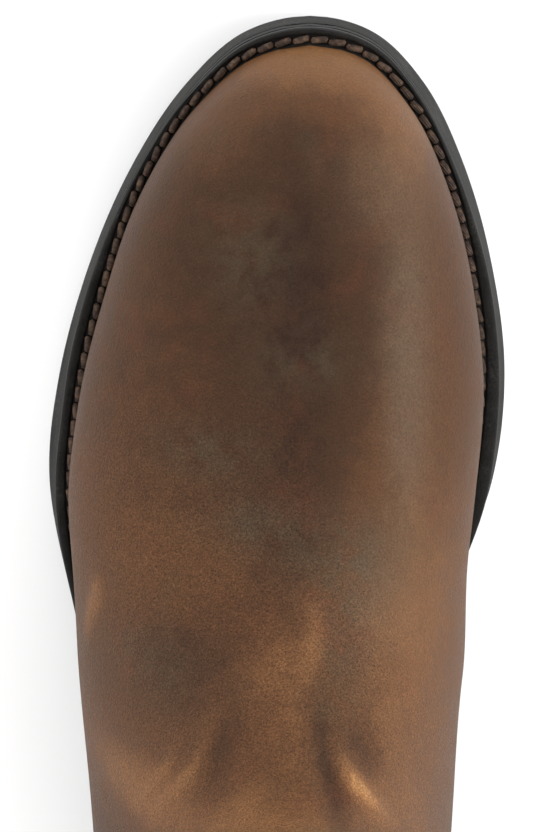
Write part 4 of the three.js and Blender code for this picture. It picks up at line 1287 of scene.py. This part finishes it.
# Stitches, as instances along a row of points
def stitchTree():
    sizes = {"Length": 0.004, "Width": 0.001, "Height": 0.0008, "Turn": 0.0, "Jitter": 0.05}
    inputs = [("Geometry", "Geometry", None)]
    inputs += [(label, "Float", value) for label, value in sizes.items()]
    inputs += [("Seed", "Int", 3), ("Thread", "Material", None)]
    tree, given, result = newGroup("stitchRow", inputs, [("Geometry", "Geometry")], "GeometryNodeTree")
    tree.is_modifier = True
    points = after(given["Geometry"], "GeometryNodeMeshToPoints")
    block = node(tree, "GeometryNodeMeshCube").outputs["Mesh"]
    rounded = after(block, "GeometryNodeSubdivisionSurface", {"Level": 1, "Edge Crease": 0.78})
    sized = after(rounded, "GeometryNodeTransform")
    size = node(tree, "ShaderNodeCombineXYZ")
    for axis, label in zip("XYZ", ("Length", "Width", "Height")):
        link(given[label], size.inputs[axis])
    link(size.outputs[0], sized.node.inputs["Scale"])
    stitch = after(sized, "GeometryNodeSetShadeSmooth")
    turned = None
    for axis, name in (("X", "along"), ("Z", "facing")):
        stored = node(tree, "GeometryNodeInputNamedAttribute", {"Name": name}, data_type="FLOAT_VECTOR")
        align = node(tree, "FunctionNodeAlignRotationToVector", axis=axis)
        link(stored.outputs["Attribute"], align.inputs["Vector"])
        if turned:
            align.pivot_axis = "X"
            link(turned, align.inputs["Rotation"])
        turned = align.outputs[0]
    spread = node(tree, "FunctionNodeRandomValue", data_type="FLOAT")
    floats = [s for s in spread.inputs if s.type == "VALUE"]
    link(maths("SUBTRACT", given["Turn"], given["Jitter"]), floats[0])
    link(plus(given["Turn"], given["Jitter"]), floats[1])
    link(given["Seed"], spread.inputs["Seed"])
    twist = node(tree, "ShaderNodeCombineXYZ")
    link(next(s for s in spread.outputs if s.type == "VALUE"), twist.inputs["Z"])
    euler = after(twist.outputs[0], "FunctionNodeEulerToRotation")
    local = after(turned, "FunctionNodeRotateRotation", rotation_space="LOCAL")
    link(euler, local.node.inputs[1])
    copies = after(points, "GeometryNodeInstanceOnPoints")
    link(stitch, copies.node.inputs["Instance"])
    link(local, copies.node.inputs["Rotation"])
    dressed = after(after(copies, "GeometryNodeRealizeInstances"), "GeometryNodeSetMaterial")
    link(given["Thread"], dressed.node.inputs["Material"])
    link(dressed, result[0])
    return tree


stitchNodes = stitchTree()


def applyTree(obj, tree, values):  # turns the modifier's result into the object's own mesh
    modifier = obj.modifiers.new(tree.name, "NODES")
    modifier.node_group = tree
    names = {item.name: item.identifier for item in tree.interface.items_tree
             if item.item_type == "SOCKET" and item.in_out == "INPUT"}
    for key, value in values.items():
        modifier[names[key]] = value
    bpy.context.view_layer.update()
    state = bpy.context.evaluated_depsgraph_get()
    made = bpy.data.meshes.new_from_object(
        obj.evaluated_get(state), preserve_all_data_layers=True, depsgraph=state
    )
    obj.modifiers.remove(modifier)
    old, obj.data = obj.data, made
    bpy.data.meshes.remove(old)


def resample(path, facing, pitch):  # points a pitch apart along a path
    step = np.linalg.norm(np.diff(path, axis=0), axis=1)
    way = np.concatenate([[0], np.cumsum(step)])
    count = max(2, int(way[-1] / pitch))
    at = (np.arange(count) + 0.5) * way[-1] / count

    def sample(at, values):
        return np.stack([np.interp(at, way, values[:, k]) for k in range(3)], axis=1)

    along = sample(at + 0.3, path) - sample(at - 0.3, path)
    return sample(at, path), along / np.linalg.norm(along, axis=1)[:, None], sample(at, facing)


def stitchObject(name, rows, size, finish, replaces=()):  # rows: (path, facing) pairs
    made = [resample(path, facing, size["pitch"]) for path, facing in rows]
    mesh = bpy.data.meshes.new(name)
    mesh.from_pydata(place(np.vstack([m[0] for m in made])).tolist(), [], [])
    for key, k in (("along", 1), ("facing", 2)):
        layer = mesh.attributes.new(key, "FLOAT_VECTOR", "POINT")
        layer.data.foreach_set("vector", np.vstack([m[k] for m in made]).astype(np.float32).ravel())
    obj = addObject(name, mesh)
    values = {key.title(): size[key] * mm for key in ("length", "width", "height")}
    values.update({key.title(): size[key] for key in ("turn", "jitter")})
    applyTree(obj, stitchNodes, {**values, "Seed": 3, "Thread": materials[finish]})
    finishPiece(obj, replaces, sharp=0)


weltStitch = {
    "length": 4.4, "width": 1.75, "height": 1.3, "pitch": 4.4, "turn": 0.16, "jitter": 0.06,
    "end": 236, "out": 1.4, "sunk": 0.1,
}
keep = outlineAt[:, 1] < weltStitch["end"]
firstKept = int(np.argmax(keep & ~np.roll(keep, 1)))
order = [i % len(keep) for i in range(firstKept, firstKept + len(keep)) if keep[i % len(keep)]]
row = edgeLine(fromFeather(-weltStitch["out"]), weltTop - weltStitch["sunk"])[order]
upwards = np.tile([0.0, 0.0, 1.0], (len(row), 1))
stitchObject("weltStitching", [(row, upwards)], weltStitch, "thread", ["welt_stitching"])

seamStitch = {"length": 2.9, "width": 0.75, "height": 0.6, "pitch": 3.4, "turn": 0.0, "jitter": 0.05}


def surfaceRow(q, u, lift):
    lifted = upperPoint(q, u) + upperNormal(q, u) * (lift + relief(q, u))[:, None]
    return lifted, upperNormal(q, u)


seamQ = np.linspace(seamCut + 6, topCut - 9, 400)
seamRows = [
    surfaceRow(seamQ, shareAt(seamQ, lines["seam"] + away, side), 0.1)
    for side in (1, -1) for away in (3.4, -3.4, 5.4, -5.4)
]
stitchObject("seamStitching", seamRows, seamStitch, "seamThread")


def coverRow(below):  # a row below the top edge of the counter cover, from side to side round the back
    q = np.linspace(seamCut, 300, 600)
    found = []
    shares = np.concatenate([np.linspace(0.35, 1, 240), np.linspace(-1, -0.35, 240)[1:]])
    for u in shares:
        at = upperPoint(q, np.full(q.shape, u))
        level = (at[:, 2] - cover["topHeight"]) * math.cos(cover["tilt"])
        level -= (at[:, 1] * mm + toeY - cover["topY"]) / mm * math.sin(cover["tilt"])
        found.append(np.interp(-below, level, q))
    found = np.array(found)
    normal = upperNormal(found, shares)
    lift = upper["gap"] + cover["thickness"] + relief(found, shares) * 0.5
    path = upperPoint(found, shares) + normal * lift[:, None]
    behind = path[:, 1] > lines["seam"] + 3.6
    return path[behind], normal[behind]


stitchObject("coverStitching", [coverRow(2.6), coverRow(4.8)], seamStitch, "seamThread")

strapStitch = {"edge": 2.4, "low": 3.0, "box": 17.0, "top": 13.0}
strapRows = []
for side in (1, -1):
    lowQ = strap["tailStart"] + strapStitch["low"]
    reach = strap["half"] - strapStitch["edge"]
    paths = []
    for across in (-reach, reach):
        paths.append((np.linspace(lowQ, topCut - strapStitch["top"], 80), np.full(80, across)))
    for up in (0, strapStitch["box"]):
        paths.append((np.full(60, lowQ + up), np.linspace(-reach, reach, 60)))
    for q, across in paths:
        share = shareAt(q, lines["seam"] + across, side)
        normal = upperNormal(q, share)
        lift = strapLift(q, share, across) + strap["thick"] - 0.05
        strapRows.append((upperPoint(q, share) + normal * lift[:, None], normal))
stitchObject("strapStitching", strapRows, seamStitch, "seamThread")

at, normal, up, _ = rimFrame(400)
path = at + normal * (binding["out"] + 0.25) - up * 5.6
bindingRow = (np.vstack([path, path[:1]]), np.vstack([normal, normal[:1]]))
stitchObject("bindingStitching", [bindingRow], seamStitch, "seamThread")
print("stitches ready")

# The footbed
bed = {"inset": 7.0, "foamFoot": 2.9, "foamTop": 7.4, "coverFoot": 7.7, "coverTop": 8.8}


def cup(x, s):  # the footbed's hollow under the heel and the rise under the arch
    hollow = -1.4 * np.exp(-((s - 268) / 26) ** 2 - ((x - 1) / 16) ** 2)
    arch = 1.2 * np.exp(-((s - 178) / 26) ** 2 - ((x + 24) / 14) ** 2)
    return np.minimum(hollow + arch, 0)


bedSides = soleSides(fromFeather(bed["inset"]))
bedInside = soleSides(fromFeather(bed["inset"] + 0.6))


def bedLevels(top, foot, topRound, footRound):
    return [(bedInside, above(top)), (bedSides, above(top - topRound)),
            (bedSides, above(foot + footRound)), (bedInside, above(foot))]


foam = levelObject("footbedFoam", bedLevels(bed["foamTop"], bed["foamFoot"], 0.6, 0.6), "foam",
                   ["footbed_foam"], rows=160, columns=24, top=cup)
bedCover = levelObject("footbedCover", bedLevels(bed["coverTop"], bed["coverFoot"], 0.5, 0.1), "textile",
                       ["footbed_cover"], rows=200, columns=40, top=cup, foot=cup)

# The frame's own parts that stay, with their finishes
kept = {
    "steel_toe_cap": "capSteel", "toe_cap_edge_trim": "rubber", "heel_counter": "counter",
    "insole_board": "board", "insole_rib": "textile", "cork_filler": "cork", "steel_shank": "steel",
    "shank_rivet_1": "steel", "shank_rivet_2": "steel",
}
kept.update({f"heel_nail_{i}": "steel" for i in range(1, 7)})
for name, finish in kept.items():
    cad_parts[name].data.materials.clear()
    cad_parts[name].data.materials.append(materials[finish])
print("kept parts dressed")

# Floor, light and camera
studio = {
    "floor": 6.0, "target": (0.0, 101.2, 15.0), "tilt": 16.0, "away": 1.3, "lens": 226.4,
    "ambient": 0.86, "paper": (0.95, 0.95, 0.95, 1),
}
floorMesh = bpy.data.meshes.new("floor")
f = studio["floor"]
floorMesh.from_pydata([(-f, -f, 0), (f, -f, 0), (f, f, 0), (-f, f, 0)], [], [(0, 1, 2, 3)])
floorMaterial, floorShader, _ = startMaterial("floorPaper", 0.1, 0.9)
floorShader.inputs["Base Color"].default_value = studio["paper"]
floorMesh.materials.append(floorMaterial)
addObject("floor", floorMesh)

world = bpy.data.worlds.new("studio")
bpy.context.scene.world = world
world.use_nodes = True
world.node_tree.nodes["Background"].inputs["Color"].default_value = (1, 1, 1, 1)
world.node_tree.nodes["Background"].inputs["Strength"].default_value = studio["ambient"]

softboxes = [  # name, place, aim, size and power
    ("keyBox", (-1.0, -0.1, 1.0), (0, -0.03, 0.05), (0.6, 1.5), 15),
    ("sheenBox", (-1.25, -0.05, 0.36), (0, -0.05, 0.07), (0.2, 1.3), 3),
    ("fillBox", (1.2, -0.2, 0.9), (0, 0, 0.05), (0.9, 1.4), 11),
    ("toeBox", (0.1, -1.3, 0.9), (0, -0.05, 0.05), (1.4, 0.7), 8),
    ("heelBox", (-0.2, 1.2, 1.1), (0, 0, 0.1), (1.4, 0.7), 7),
]
for name, at, aim, size, power in softboxes:
    light = bpy.data.lights.new(name, "AREA")
    light.shape = "RECTANGLE"
    light.size, light.size_y = size
    light.energy = power
    obj = addObject(name, light)
    obj.location = at
    obj.rotation_euler = (Vector(aim) - Vector(at)).to_track_quat("-Z", "Y").to_euler()

camera = bpy.data.cameras.new("camera")
camera.sensor_width = 36
camera.lens = studio["lens"]
cameraObject = addObject("camera", camera)
bpy.context.scene.camera = cameraObject
tilt = math.radians(studio["tilt"])
target = place(studio["target"])
back = np.array([0, -math.sin(tilt), math.cos(tilt)])
right = np.array([-1.0, 0, 0])
upwards = np.cross(back, right)
cameraObject.matrix_world = Matrix(
    [[right[i], upwards[i], back[i], target[i] + back[i] * studio["away"]] for i in range(3)]
    + [[0, 0, 0, 1]]
)
camera.clip_start, camera.clip_end = 0.05, 20
bpy.context.scene.view_settings.view_transform = "Standard"

print("scene ready")
